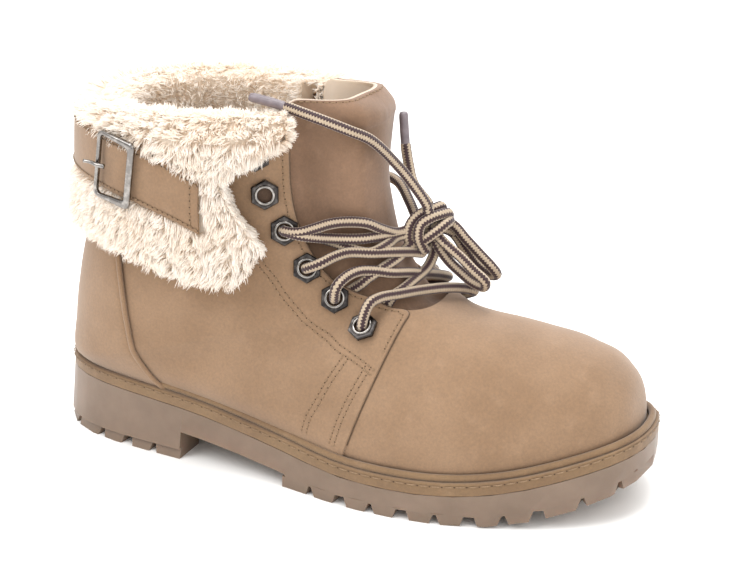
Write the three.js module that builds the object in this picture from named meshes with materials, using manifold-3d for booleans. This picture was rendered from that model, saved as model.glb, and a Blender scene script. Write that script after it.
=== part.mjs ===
// A right-foot lace-up ankle boot with a folded-down fleece cuff, a buckled cuff strap and a lugged sole.
// Millimetres, +Z up. X runs from heel to toe, the outer side of the foot faces -Y and the inner side +Y.
// The boot is worked out with x = 0 at the back of the sole, and moved at the end so that the origin
// lies on the floor under the middle of the heel.
import * as THREE from "three";
import { mergeVertices } from "three/addons/utils/BufferGeometryUtils.js";
import Module from "manifold-3d";

const wasm = await Module();
wasm.setup();

// Driving sizes
const SOLE_LENGTH = 276;
const BALL_HALF_WIDTH = 51;
const HEEL_HEIGHT = 34;
const FOREFOOT_THICKNESS = 18.2;
const TOE_SPRING = 17;
const HEEL_LENGTH = 72;
const HEEL_FLARE = 2.2;
const ARCH_LENGTH = 56;
const SHANK_THICKNESS = 10.5;
const LUG_DEPTH = 4.6;
const LUG_REACH = 15;
const CLEAT_WIDTH = 9;
const CLEAT_GAP = 4;
const WELT_HEIGHT = 5.5;
const WELT_LEDGE = 5.6;
const BEAD_MARGIN = 1.4;
const BEAD_DIAMETER = 3.2;
const COLLAR_HEIGHT = 150;
const INSTEP_RISE = 60;
const ANKLE_HALF_WIDTH = 38;
const UPPER_WALL = 2.2;
const QUARTER_STEP = 1.2;
const COUNTER_THICKNESS = 1.3;
const THROAT_HALF_WIDTH = 27;
const CLEARANCE = 0.3;
const INSOLE_THICKNESS = 4;
const TONGUE_THICKNESS = 3.4;
const TONGUE_HEIGHT = 167;
const TONGUE_CROWN = 22;
const CUFF_THICKNESS = 11;
const CUFF_LINING = 7;
const CUFF_ROLL = 9;
const LOCK_LENGTH = 5;
const STRAP_WIDTH = 24;
const STRAP_THICKNESS = 2;
const BUCKLE_BAR = 2.2;
const BUCKLE_FACE_BAR = 4.4;
const BUCKLE_LENGTH = 20;
const EYELET_ACROSS_FLATS = 11.4;
const EYELET_HOLE = 6.4;
const EYELET_FLANGE = 1.5;
const LACE_DIAMETER = 4.6;

const LATERAL = -1;
const MEDIAL = 1;
const SIDES = [LATERAL, MEDIAL];

// Plan of the sole: half width and centre line as shares of the ball's half width, at shares of the length.
const PLAN = [
  { at: 0.0, half: 0.67, centre: 0.02 },
  { at: 0.1, half: 0.69, centre: 0.03 },
  { at: 0.2, half: 0.72, centre: 0.0 },
  { at: 0.32, half: 0.735, centre: -0.06 },
  { at: 0.45, half: 0.775, centre: -0.12 },
  { at: 0.58, half: 0.925, centre: -0.11 },
  { at: 0.7, half: 0.99, centre: -0.04 },
  { at: 0.82, half: 0.96, centre: 0.07 },
  { at: 0.92, half: 0.91, centre: 0.13 },
  { at: 1.0, half: 0.88, centre: 0.14 },
];
const HEEL_ROUND = { length: 0.16, power: 2.4 };
const TOE_ROUND = { length: 0.24, power: 2.3 };

// Height of the welt's top: share of the way from the forefoot to the heel, and share of the toe spring.
const PROFILE = [
  { at: 0.0, heel: 1.0, spring: 0.0 },
  { at: 0.28, heel: 0.72, spring: 0.0 },
  { at: 0.6, heel: 0.03, spring: 0.0 },
  { at: 0.78, heel: 0.0, spring: 0.12 },
  { at: 1.0, heel: 0.0, spring: 1.0 },
];
const SPRING_START = 0.74;

// Rows of numbers under named columns, as objects.
function table(names, rows) {
  const keys = names.split(" ");
  return rows.map((row) => Object.fromEntries(row.map((value, i) => [keys[i], value])));
}

// Sections of the last. Each is a tilted ring from its back point to its front point on the centre plane.
// backX and frontX are shares of the sole's length. In the shaft both heights are shares of the collar's
// height; in the foot the back lies on the welt and frontZ is a share of the instep's rise above it.
// half is the widest half width as a share of the ankle's, and in the foot swell is what the wall bulges past
// the feather line. widest is where along the ring it is widest. round and crown say how square the ring is
// behind and in front of that: 2 is an ellipse.
const SHAFT = table("at backX backZ frontX frontZ half widest round crown", [
  [0.0, 0.08, 1.0, 0.495, 1.03, 1.1, 0.45, 2.2, 2.05],
  [0.08, 0.072, 0.84, 0.503, 0.875, 1.07, 0.43, 2.2, 2.1],
  [0.17, 0.057, 0.667, 0.524, 0.76, 1.05, 0.41, 2.25, 2.3],
  [0.25, 0.036, 0.5, 0.553, 0.67, 1.045, 0.38, 2.3, 2.8],
  [0.33, 0.023, 0.347, 0.588, 0.608, 1.04, 0.35, 2.35, 3.4],
]);
const FOOT = table("at backX frontX frontZ ridge swell widest round crown", [
  [0.39, 0.0, 0.614, 0.897, 0.0, 1.1, 0.345, 2.4, 3.9],
  [0.41, 0.015, 0.62, 0.879, 0.0, 1.12, 0.343, 2.4, 4.0],
  [0.45, 0.1, 0.633, 0.86, 0.003, 1.22, 0.34, 2.35, 4.1],
  [0.52, 0.245, 0.662, 0.85, 0.005, 1.28, 0.34, 2.3, 4.0],
  [0.6, 0.395, 0.697, 0.885, 0.0, 1.16, 0.3, 2.25, 3.4],
  [0.68, 0.526, 0.737, 0.925, 0.0, 1.06, 0.27, 2.2, 2.8],
  [0.76, 0.64, 0.785, 0.92, 0.02, 1.03, 0.25, 2.2, 2.5],
  [0.84, 0.76, 0.838, 0.855, 0.06, 1.03, 0.26, 2.2, 2.3],
  [0.91, 0.873, 0.902, 0.7, 0.11, 1.03, 0.27, 2.2, 2.25],
  [0.96, 0.945, 0.96, 0.5, 0.14, 1.03, 0.28, 2.2, 2.2],
  [0.985, 0.982, 0.989, 0.29, 0.145, 1.02, 0.3, 2.2, 2.2],
  [1.0, 1.0, 1.0, 0.05, 0.15, 1.0, 0.3, 2.2, 2.2],
]);
const HEEL_RING = FOOT[0].at;
// Over how much of p the ankle's width gives way to the feather line's.
const HALF_BLEND = 0.17;
const THROAT_TAPER = { narrow: 0.78, from: 0.5, to: 0.64 };

const clamp = THREE.MathUtils.clamp;
const lerp = THREE.MathUtils.lerp;
const smooth = THREE.MathUtils.smoothstep;

// The value of one column of a table at a share, on a smooth curve through the rows.
function column(rows, key, at) {
  const last = rows.length - 1;
  let i = 0;
  while (i < last - 1 && at > rows[i + 1].at) i++;
  const slope = (a, b) => (rows[b][key] - rows[a][key]) / (rows[b].at - rows[a].at);
  const tangent = (k) => {
    if (k === 0) return slope(0, 1);
    if (k === last) return slope(last - 1, last);
    const before = rows[k].at - rows[k - 1].at;
    const after = rows[k + 1].at - rows[k].at;
    return (slope(k - 1, k) * after + slope(k, k + 1) * before) / (before + after);
  };
  const width = rows[i + 1].at - rows[i].at;
  const t = clamp((at - rows[i].at) / width, 0, 1);
  const t2 = t * t;
  const t3 = t2 * t;
  return (
    (2 * t3 - 3 * t2 + 1) * rows[i][key] +
    (t3 - 2 * t2 + t) * width * tangent(i) +
    (3 * t2 - 2 * t3) * rows[i + 1][key] +
    (t3 - t2) * width * tangent(i + 1)
  );
}

// How far a rounded end has opened at a share of its own length, from 0 at the tip to 1.
function roundedEnd(share, power) {
  return (1 - (1 - clamp(share, 0, 1)) ** power) ** (1 / power);
}

const planX = (s, inset) => inset + s * (SOLE_LENGTH - 2 * inset);

// The plan's edge on one side, at a share of the length, for an outline drawn in by an inset.
function planY(s, side, inset) {
  const open =
    roundedEnd(s / HEEL_ROUND.length, HEEL_ROUND.power) *
    roundedEnd((1 - s) / TOE_ROUND.length, TOE_ROUND.power);
  const half = column(PLAN, "half", s) * BALL_HALF_WIDTH - inset;
  return column(PLAN, "centre", s) * BALL_HALF_WIDTH + side * half * open;
}

// The feather line's half width on one side, were the back half of the plan not rounded at the heel.
function unrounded(s, side) {
  if (s > HEEL_ROUND.length) return 0;
  return (column(PLAN, "half", s) + side * column(PLAN, "centre", s)) * BALL_HALF_WIDTH - WELT_LEDGE;
}

// Height of the welt's top at a distance from the back of the sole.
function weltTop(x) {
  const s = clamp(x / SOLE_LENGTH, 0, 1);
  return (
    FOREFOOT_THICKNESS +
    column(PROFILE, "heel", s) * (HEEL_HEIGHT - FOREFOOT_THICKNESS) +
    column(PROFILE, "spring", s) * TOE_SPRING
  );
}

// Height of the tread face above the floor: flat to the ball, then up by the toe spring.
function treadHeight(x) {
  const s = x / SOLE_LENGTH;
  return TOE_SPRING * (Math.max(0, s - SPRING_START) / (1 - SPRING_START)) ** 2;
}

// Rings of the last in millimetres, from the two tables.
const featherX = (share) => planX(share, WELT_LEDGE);
const RINGS = [
  ...SHAFT.map((row) => ({
    ...row,
    backX: row.backX * SOLE_LENGTH,
    backZ: row.backZ * COLLAR_HEIGHT,
    frontX: row.frontX * SOLE_LENGTH,
    frontZ: row.frontZ * COLLAR_HEIGHT,
    half: row.half * ANKLE_HALF_WIDTH,
    ridge: 0,
    swell: FOOT[0].swell,
  })),
  ...FOOT.map((row) => ({
    ...row,
    backX: featherX(row.backX),
    backZ: weltTop(featherX(row.backX)) + CLEARANCE,
    frontX: row.frontX * (SOLE_LENGTH - WELT_LEDGE),
    frontZ: weltTop(featherX(row.backX)) + CLEARANCE + row.frontZ * INSTEP_RISE,
    half: SHAFT[SHAFT.length - 1].half * ANKLE_HALF_WIDTH,
    ridge: row.ridge * BALL_HALF_WIDTH,
  })),
];

// One ring of the last: its ends, its widths, and the angle at which its wall starts on each side.
function ringAt(p) {
  const value = (key) => column(RINGS, key, p);
  const ring = { back: [value("backX"), value("backZ")], front: [value("frontX"), value("frontZ")] };
  ring.ridge = value("ridge");
  ring.widest = value("widest");
  ring.round = value("round");
  ring.crown = value("crown");
  const onSole = p > HEEL_RING;
  const s = (ring.back[0] - WELT_LEDGE) / (SOLE_LENGTH - 2 * WELT_LEDGE);
  if (onSole) ring.back[1] = weltTop(ring.back[0]) + CLEARANCE;
  ring.half = {};
  ring.start = {};
  for (const side of SIDES) {
    const feather = onSole ? side * (planY(clamp(s, 0, 1), side, WELT_LEDGE) - ring.ridge) : 0;
    const edge = Math.max(feather, 0);
    const plan = onSole ? Math.max(edge, unrounded(clamp(s, 0, 1), side)) : 0;
    const half = lerp(value("half"), plan * value("swell"), smooth(p, HEEL_RING, HEEL_RING + HALF_BLEND));
    ring.half[side] = p === 1 ? 0 : Math.max(half, edge * 1.002);
    ring.start[side] = p === 1 ? 0 : Math.asin(clamp(edge / ring.half[side], 0, 1) ** (ring.round / 2));
  }
  return ring;
}

// A point of the last: p along the boot from collar to toe, angle round the ring from its start (0 or more,
// at the back or the feather line) to PI on the ridge.
function lastPoint(p, turn, side) {
  const ring = ringAt(p);
  const angle = Math.max(turn, ring.start[side]);
  const along = (a) =>
    a < Math.PI / 2 ? ring.widest * (1 - Math.cos(a)) : ring.widest - (1 - ring.widest) * Math.cos(a);
  const from = along(ring.start[side]);
  const t = (along(angle) - from) / (1 - from);
  const squareness = angle < Math.PI / 2 ? ring.round : ring.crown;
  const out = ring.half[side] * Math.max(0, Math.sin(angle)) ** (2 / squareness);
  return new THREE.Vector3(
    lerp(ring.back[0], ring.front[0], t),
    ring.ridge + side * out,
    lerp(ring.back[1], ring.front[1], t),
  );
}

// The last's outward direction at a point.
function lastNormal(p, angle, side) {
  if (p === 1) return new THREE.Vector3(1, 0, 0);
  const h = 0.012;
  const start = ringAt(p).start[side];
  const low = clamp(p - h, 0, 0.99);
  const high = clamp(p + h, low + h, 1);
  const a0 = clamp(angle - 0.03, start + 0.01, Math.PI - 0.07);
  const a1 = a0 + 0.06;
  const mid = clamp(p, 0, 0.992);
  const across = lastPoint(mid, a1, side).sub(lastPoint(mid, a0, side));
  const down = lastPoint(high, angle, side).sub(lastPoint(low, angle, side));
  const normal = across.cross(down).multiplyScalar(side);
  if (angle > Math.PI - 0.035 || (p <= HEEL_RING && angle < 0.035)) normal.y = 0;
  return normal.normalize();
}

// The last's surface pushed out by an offset, or in where it is negative. rise lifts it above the collar.
function skin(p, angle, side, offset = 0, rise = 0) {
  const point = lastPoint(p, angle, side);
  point.addScaledVector(lastNormal(p, angle, side), offset);
  point.z += rise;
  return point;
}

// The throat's half width at a distance from the back: it narrows towards its round end.
function throatHalf(x) {
  const { narrow, from, to } = THROAT_TAPER;
  return THROAT_HALF_WIDTH * lerp(1, narrow, smooth(x, from * SOLE_LENGTH, to * SOLE_LENGTH));
}

// Angle at which the throat's edge crosses a ring.
function throatAngle(p, side) {
  const ring = ringAt(p);
  const reach = throatHalf(ring.front[0]) / ring.half[side];
  return Math.PI - Math.asin(clamp(reach, 0, 0.98) ** (ring.crown / 2));
}

// Angle on a ring at a share of the way from the throat's edge to the back or the feather line.
function quarterAngle(p, side, c) {
  return lerp(throatAngle(p, side), ringAt(p).start[side], c);
}

// The ring and the angle of the point of one side that is seen at (x, z) from the side.
function onSide(x, z, side) {
  const miss = (p, angle) => {
    const v = lastPoint(p, angle, side);
    return [v.x - x, v.z - z];
  };
  let best = { p: 0, angle: 1, far: Infinity };
  for (let p = 0; p < 0.97; p += 0.03) {
    const { start } = ringAt(p);
    for (let k = 1; k < 20; k++) {
      const angle = lerp(start[side], Math.PI, k / 20);
      const far = Math.hypot(...miss(p, angle));
      if (far < best.far) best = { p, angle, far };
    }
  }
  let { p, angle } = best;
  const h = 1e-4;
  for (let i = 0; i < 12; i++) {
    const [fx, fz] = miss(p, angle);
    const [px, pz] = miss(p + h, angle);
    const [ax, az] = miss(p, angle + h);
    const [a, b, c, d] = [(px - fx) / h, (ax - fx) / h, (pz - fz) / h, (az - fz) / h];
    const det = a * d - b * c;
    p = clamp(p - (d * fx - b * fz) / det, 0, 0.995);
    angle = clamp(angle - (a * fz - c * fx) / det, 0.01, Math.PI - 0.01);
  }
  return { p, angle, side };
}

// Solids from points. A ring solid is a row of closed loops of points, skinned and either capped or
// joined up.
function geometryFrom(triangles) {
  const flat = new Float32Array(triangles.length * 9);
  triangles.forEach((corners, i) => corners.forEach((v, j) => v.toArray(flat, 9 * i + 3 * j)));
  const geometry = new THREE.BufferGeometry();
  geometry.setAttribute("position", new THREE.BufferAttribute(flat, 3));
  const merged = mergeVertices(geometry, 2e-3);
  const index = merged.index.array;
  const kept = [];
  for (let i = 0; i < index.length; i += 3) {
    const [a, b, c] = [index[i], index[i + 1], index[i + 2]];
    if (a !== b && b !== c && c !== a) kept.push(a, b, c);
  }
  merged.setIndex(kept);
  return merged;
}

function quad(triangles, a, b, c, d) {
  triangles.push([a, b, c], [a, c, d]);
}

function solidFrom(triangles) {
  const geometry = geometryFrom(triangles);
  const mesh = new wasm.Mesh({
    numProp: 3,
    vertProperties: geometry.getAttribute("position").array,
    triVerts: new Uint32Array(geometry.index.array),
  });
  const solid = new wasm.Manifold(mesh);
  if (solid.volume() >= 0) return solid;
  return solidFrom(triangles.map(([a, b, c]) => [a, c, b]));
}

function ringSolid(loops, { joined = false, cap = null } = {}) {
  const triangles = [];
  const count = loops[0].length;
  const spans = joined ? loops.length : loops.length - 1;
  for (let i = 0; i < spans; i++) {
    const [a, b] = [loops[i], loops[(i + 1) % loops.length]];
    for (let j = 0; j < count; j++) {
      const k = (j + 1) % count;
      quad(triangles, a[j], b[j], b[k], a[k]);
    }
  }
  if (!joined) {
    const close = (loop, forward) => {
      if (!cap) capLoop(triangles, loop, forward);
      else {
        for (const [a, b, c] of cap) {
          const turned = forward ? [a, b, c] : [a, c, b];
          triangles.push(turned.map((k) => loop[k]));
        }
      }
    };
    close(loops[0], true);
    close(loops[spans], false);
  }
  return solidFrom(triangles);
}

// Closes a loop with triangles, in the plane that it lies in best.
function capLoop(triangles, loop, forward) {
  const normal = new THREE.Vector3();
  loop.forEach((v, i) => normal.add(v.clone().cross(loop[(i + 1) % loop.length])));
  if (normal.length() < 1e-6) return;
  const turn = new THREE.Quaternion().setFromUnitVectors(normal.normalize(), new THREE.Vector3(0, 0, 1));
  const flat = loop.map((v) => {
    const p = v.clone().applyQuaternion(turn);
    return new THREE.Vector2(p.x, p.y);
  });
  for (const [a, b, c] of THREE.ShapeUtils.triangulateShape(flat, [])) {
    triangles.push(forward ? [loop[a], loop[b], loop[c]] : [loop[a], loop[c], loop[b]]);
  }
}

function fromGeometry(geometry) {
  const bare = geometry.index ? geometry.toNonIndexed() : geometry.clone();
  bare.deleteAttribute("normal");
  bare.deleteAttribute("uv");
  const merged = mergeVertices(bare, 1e-3);
  return new wasm.Manifold(
    new wasm.Mesh({
      numProp: 3,
      vertProperties: merged.getAttribute("position").array,
      triVerts: new Uint32Array(merged.index.array),
    }),
  );
}

function toGeometry(solid) {
  const mesh = solid.getMesh();
  const points = new Float32Array(mesh.numVert * 3);
  for (let i = 0; i < mesh.numVert; i++) {
    points.set(mesh.vertProperties.subarray(i * mesh.numProp, i * mesh.numProp + 3), 3 * i);
  }
  const geometry = new THREE.BufferGeometry();
  geometry.setAttribute("position", new THREE.BufferAttribute(points, 3));
  geometry.setIndex(new THREE.BufferAttribute(mesh.triVerts, 1));
  geometry.computeVertexNormals();
  return geometry;
}

const largest = (solid) => solid.decompose().reduce((a, b) => (a.volume() > b.volume() ? a : b));
const union = (solids) => solids.reduce((a, b) => a.add(b));

const STEP_DIAMETERS = 2.6;

// A round cord through points chosen by hand, with a section of a few sides.
function cordSolid(points, diameter, { sides = 7, steps = null } = {}) {
  const path = new THREE.CatmullRomCurve3(points.map((p) => new THREE.Vector3(...p)), false, "centripetal");
  const section = new THREE.Shape();
  for (let i = 0; i < sides; i++) {
    const a = (2 * Math.PI * i) / sides;
    section[i ? "lineTo" : "moveTo"]((diameter / 2) * Math.cos(a), (diameter / 2) * Math.sin(a));
  }
  section.closePath();
  const count = steps ?? Math.ceil(path.getLength() / (STEP_DIAMETERS * diameter));
  return fromGeometry(
    new THREE.ExtrudeGeometry(section, { extrudePath: path, steps: count, bevelEnabled: false }),
  );
}

// Stations along the sole, closer together at its rounded ends, with extra ones where the underside steps.
function stations(from, to, count, extra = []) {
  const list = [];
  for (let i = 0; i <= count; i++) {
    const even = (1 - Math.cos((Math.PI * i) / count)) / 2;
    list.push(lerp(from, to, even));
  }
  const all = [...list, ...extra.filter((s) => s > from && s < to)].sort((a, b) => a - b);
  return all.filter((s, i) => i === 0 || s - all[i - 1] > 5e-4);
}

// A plate of the sole's plan between two heights that follow the length.
function planPlate(list, inset, low, high, flare = () => 0) {
  const loops = list.map((s) => {
    const out = flare(s);
    const back = out * Math.max(0, 1 - s / 0.1);
    const x = planX(s, inset);
    const at = (side, z, spread) =>
      new THREE.Vector3(x - (spread ? back : 0), planY(s, side, inset - (spread ? out : 0)), z);
    const [bottom, top] = [low(x), high(x)];
    return [
      at(LATERAL, bottom, true),
      at(LATERAL, top, false),
      at(MEDIAL, top, false),
      at(MEDIAL, bottom, true),
    ];
  });
  return ringSolid(loops);
}

const ARCH = { from: HEEL_LENGTH, to: HEEL_LENGTH + ARCH_LENGTH };
const heelFlare = (s) => HEEL_FLARE * (1 - smooth(s, 0.22, 0.5));
const shareOf = (x) => x / SOLE_LENGTH;

function outsole() {
  const step = 1.1;
  const top = (x) => weltTop(x) - WELT_HEIGHT - CLEARANCE;
  const root = (x) => {
    const flat = treadHeight(x) + LUG_DEPTH;
    if (x <= ARCH.from + 1e-6 || x >= ARCH.to - 1e-6) return flat;
    return Math.max(flat, top(x) - SHANK_THICKNESS);
  };
  const steps = [ARCH.from, ARCH.from + step, ARCH.to - step, ARCH.to].map(shareOf);
  const body = planPlate(stations(0, 1, 24, steps), 0, root, top, heelFlare);

  // The lugs' layer under the heel and the forefoot: a band of blocks round the edge, and cleats in the
  // middle.
  const layers = [
    [0, shareOf(ARCH.from), 8],
    [shareOf(ARCH.to - 2), 1, 12],
  ].map(([from, to, count]) => {
    const band = planPlate(
      stations(from, to, count),
      0,
      treadHeight,
      (x) => treadHeight(x) + LUG_DEPTH + 0.4,
      heelFlare,
    );
    const well = planPlate(
      stations(Math.max(0, from - 0.05), to, count),
      LUG_REACH,
      (x) => treadHeight(x) - 1,
      (x) => treadHeight(x) + LUG_DEPTH,
    );
    return band.subtract(well);
  });

  const cleats = CLEATS.map((s) => {
    const x = planX(s, 0);
    const [low, high] = [treadHeight(x), treadHeight(x) + LUG_DEPTH + 0.5];
    const inset = LUG_REACH + CLEAT_GAP;
    const [y0, y1] = [planY(s, LATERAL, inset), planY(s, MEDIAL, inset)];
    const box = new THREE.BoxGeometry(CLEAT_WIDTH, y1 - y0, high - low);
    box.translate(x, (y0 + y1) / 2, (low + high) / 2);
    return fromGeometry(box);
  });

  const cuts = [];
  for (const side of SIDES) for (const row of NOTCHES) cuts.push(notch(row, side));
  return union([body, ...layers]).subtract(union(cuts)).add(union(cleats));
}

// Notches in the lugs' band: where along the plan, how wide at the floor and at the root.
const NOTCHES = [
  { at: 0.04, foot: 3.2, root: 1.6 },
  { at: 0.1, foot: 4.2, root: 1.4 },
  { at: 0.155, foot: 6.2, root: 4.0 },
  { at: 0.208, foot: 4.2, root: 1.4 },
  { at: 0.51, foot: 4.6, root: 1.2 },
  { at: 0.565, foot: 7.2, root: 4.4 },
  { at: 0.618, foot: 4.8, root: 1.2 },
  { at: 0.67, foot: 7.4, root: 4.4 },
  { at: 0.723, foot: 5.0, root: 1.2 },
  { at: 0.774, foot: 7.4, root: 4.4 },
  { at: 0.824, foot: 5.0, root: 1.2 },
  { at: 0.872, foot: 7.0, root: 4.2 },
  { at: 0.93, foot: 5.0, root: 1.4 },
  { at: 0.975, foot: 4.6, root: 1.6 },
];
// The heel's middle cleat stands at the origin.
const HEEL_CLEAT = 0.1305;
const CLEATS = [0.062, HEEL_CLEAT, 0.2, 0.52, 0.59, 0.66, 0.73, 0.8, 0.865];

// A wedge that cuts one notch, square to the plan's edge.
function notch(row, side) {
  const h = 0.004;
  const at = (s) => new THREE.Vector2(planX(s, 0), planY(s, side, 0));
  const edge = at(row.at);
  const along = at(row.at + h).sub(at(row.at - h)).normalize();
  const low = treadHeight(edge.x);
  const rise = LUG_DEPTH * 0.96;
  const section = new THREE.Shape();
  section.moveTo(-row.foot / 2 - 0.4, -1);
  section.lineTo(row.foot / 2 + 0.4, -1);
  section.lineTo(row.root / 2, rise);
  section.lineTo(-row.root / 2, rise);
  section.closePath();
  const outside = 4;
  const wedge = new THREE.ExtrudeGeometry(section, { depth: LUG_REACH + outside + 1, bevelEnabled: false });
  wedge.translate(0, 0, -outside);
  const inward = new THREE.Vector3(-along.y, along.x, 0).multiplyScalar(-side);
  const z = new THREE.Vector3(0, 0, 1);
  const x = new THREE.Vector3().crossVectors(z, inward);
  wedge.applyMatrix4(new THREE.Matrix4().makeBasis(x, z, inward).setPosition(edge.x, edge.y, low));
  return fromGeometry(wedge);
}

function welt() {
  return planPlate(stations(0, 1, 32), 0, (x) => weltTop(x) - WELT_HEIGHT, weltTop);
}

function insole() {
  const inset = WELT_LEDGE + UPPER_WALL + CLEARANCE;
  const list = stations(0, 1, 20);
  const under = (x) => weltTop(x) + CLEARANCE;
  const plate = planPlate(list, inset, under, (x) => under(x) + INSOLE_THICKNESS);
  return plate.intersect(lastSolid(-UPPER_WALL - 3 * CLEARANCE, { drop: 8 }));
}

// The bead that runs round the upper's foot, on the welt's ledge.
function bead() {
  const radius = BEAD_DIAMETER / 2;
  const inset = BEAD_MARGIN + radius;
  const side = (s, which) =>
    new THREE.Vector3(planX(s, inset), planY(s, which, inset), weltTop(planX(s, inset)));
  const half = stations(0, 1, 20);
  const path = [
    ...half.map((s) => side(s, LATERAL)),
    ...half.slice(1, -1).reverse().map((s) => side(s, MEDIAL)),
  ];
  const sides = 5;
  const loops = path.map((p, i) => {
    const next = path[(i + 1) % path.length];
    const before = path[(i + path.length - 1) % path.length];
    const along = next.clone().sub(before).setZ(0).normalize();
    const out = new THREE.Vector3(along.y, -along.x, 0);
    return Array.from({ length: sides }, (_, k) => {
      const a = (2 * Math.PI * (k + 0.5)) / sides;
      const point = p.clone().addScaledVector(out, radius * Math.cos(a));
      point.z += CLEARANCE + radius + radius * Math.sin(a);
      return point;
    });
  });
  const leather = lastSolid(QUARTER_STEP + 2 * CLEARANCE, { drop: 8 });
  const ring = ringSolid(loops, { joined: true }).subtract(leather);
  const counter = lastSolid(COUNTER_BASE + COUNTER_THICKNESS + CLEARANCE, { drop: 8 });
  return largest(ring.subtract(counter.intersect(counterRegion(1.5))));
}

// A solid of the last, pushed out by an offset. Rows are rings, and each has the same number of points.
// Where drop is over 0 its underside hangs below the feather line, which opens what is cut with it.
const HALF_COLUMNS = 9;
const ROWS = [
  0, 0.09, 0.18, 0.26, 0.33, 0.39, 0.397, 0.415, 0.45, 0.5,
  0.56, 0.63, 0.7, 0.77, 0.84, 0.9, 0.95, 0.98, 1,
];
const EVEN_COLUMNS = { from: 0.42, to: 0.6 };

function lastSolid(offset, { rows = ROWS, drop = 0, above = 0 } = {}) {
  const loop = (p, lift) => {
    const points = [];
    const { start } = ringAt(p);
    const even = smooth(p, EVEN_COLUMNS.from, EVEN_COLUMNS.to);
    const angle = (side, j) => {
      const fixed = Math.max(start[side], (Math.PI * j) / HALF_COLUMNS);
      return lerp(fixed, lerp(start[side], Math.PI, j / HALF_COLUMNS), even);
    };
    for (let j = 0; j <= HALF_COLUMNS; j++) points.push(skin(p, angle(LATERAL, j), LATERAL, offset, lift));
    for (let j = HALF_COLUMNS - 1; j >= 0; j--) points.push(skin(p, angle(MEDIAL, j), MEDIAL, offset, lift));
    if (drop > 0) {
      const lower = (v) => v.clone().setZ(v.z - (p >= HEEL_RING ? drop : 0));
      points.push(lower(points[points.length - 1]), lower(points[0]));
    }
    return points;
  };
  const loops = rows.map((p) => loop(p, 0));
  if (above > 0) loops.unshift(loop(rows[0], above));
  return ringSolid(loops);
}

// A prism between two planes of y, from an outline in the XZ plane.
function sideCutter(outline, y0, y1) {
  const shape = new THREE.Shape(outline.map(([x, z]) => new THREE.Vector2(x, z)));
  const prism = new THREE.ExtrudeGeometry(shape, { depth: y1 - y0, bevelEnabled: false, curveSegments: 6 });
  prism.rotateX(Math.PI / 2);
  prism.translate(0, y1, 0);
  return fromGeometry(prism);
}

// The quarter's front edge in the XZ plane, from the throat's corner down past the feather line.
const QUARTER_FRONT = { x: 0.64, z: 0.56, slant: 0.33 };
const quarterFrontX = (z) =>
  SOLE_LENGTH * QUARTER_FRONT.x + (z - QUARTER_FRONT.z * COLLAR_HEIGHT) * QUARTER_FRONT.slant;

function quarterRegion() {
  const [low, high] = [0, 1.4 * COLLAR_HEIGHT];
  const behind = -30;
  const front = quarterFrontX;
  const outline = [
    [behind, low],
    [front(low), low],
    [front(high), high],
    [behind, high],
  ];
  return sideCutter(outline, -90, 90);
}

// The throat: a slot from above with straight edges and a round end.
function throatCutter() {
  const [open, end] = [0.32 * SOLE_LENGTH, QUARTER_FRONT.x * SOLE_LENGTH];
  const corner = 9;
  const steps = 5;
  const edge = Array.from({ length: steps + 1 }, (_, i) => {
    const x = lerp(THROAT_TAPER.from * SOLE_LENGTH, end - corner, i / steps);
    return [x, throatHalf(x)];
  });
  const half = throatHalf(end);
  const bulge = 5;
  const shape = new THREE.Shape();
  shape.moveTo(open, -THROAT_HALF_WIDTH);
  for (const [x, y] of edge) shape.lineTo(x, -y);
  shape.quadraticCurveTo(end + 1, -half, end + bulge - 2, corner - half);
  shape.lineTo(end + bulge, half - corner);
  shape.quadraticCurveTo(end + bulge, half, end - corner, half);
  for (const [x, y] of edge.reverse().slice(1)) shape.lineTo(x, y);
  shape.lineTo(open, THROAT_HALF_WIDTH);
  shape.closePath();
  const prism = new THREE.ExtrudeGeometry(shape, {
    depth: 2 * COLLAR_HEIGHT,
    bevelEnabled: false,
    curveSegments: 4,
  });
  prism.translate(0, 0, HEEL_HEIGHT);
  return fromGeometry(prism);
}

// The place of each eyelet, from the collar down: x as a share of the length, z of the collar's height.
// lift is what the curve of the leather holds the flat flange off it, in millimetres.
const EYELET_ROWS = [
  { x: 0.398, z: 0.967, lift: 0.6 },
  { x: 0.41, z: 0.855, lift: 0.6 },
  { x: 0.438, z: 0.75, lift: 0.6 },
  { x: 0.475, z: 0.645, lift: 0.6 },
  { x: 0.522, z: 0.566, lift: 0.7 },
  { x: 0.575, z: 0.493, lift: 1.3 },
];
const EYELETS = SIDES.flatMap((side) =>
  EYELET_ROWS.map((place, row) => {
    const { p, angle } = onSide(place.x * SOLE_LENGTH, place.z * COLLAR_HEIGHT, side);
    const { lift } = place;
    const out = new THREE.Vector3();
    for (const turn of [-0.3, -0.15, 0, 0.15, 0.3]) out.add(lastNormal(p, angle + turn, side));
    return { side, row, at: skin(p, angle, side, QUARTER_STEP), out: out.normalize(), lift };
  }),
);

function placed(geometry, eyelet) {
  const turn = new THREE.Quaternion().setFromUnitVectors(new THREE.Vector3(0, 0, 1), eyelet.out);
  geometry.applyMatrix4(new THREE.Matrix4().compose(eyelet.at, turn, new THREE.Vector3(1, 1, 1)));
  return fromGeometry(geometry);
}

function disc(radius, low, high, segments) {
  const geometry = new THREE.CylinderGeometry(radius, radius, high - low, segments);
  geometry.rotateX(Math.PI / 2);
  geometry.translate(0, 0, (low + high) / 2);
  return geometry;
}

const BARREL_WALL = 0.9;
const barrelRadius = EYELET_HOLE / 2 + BARREL_WALL;
const EYELET_SINK = UPPER_WALL + QUARTER_STEP + 0.2;
const ROUND_SIDES = 6;

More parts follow.
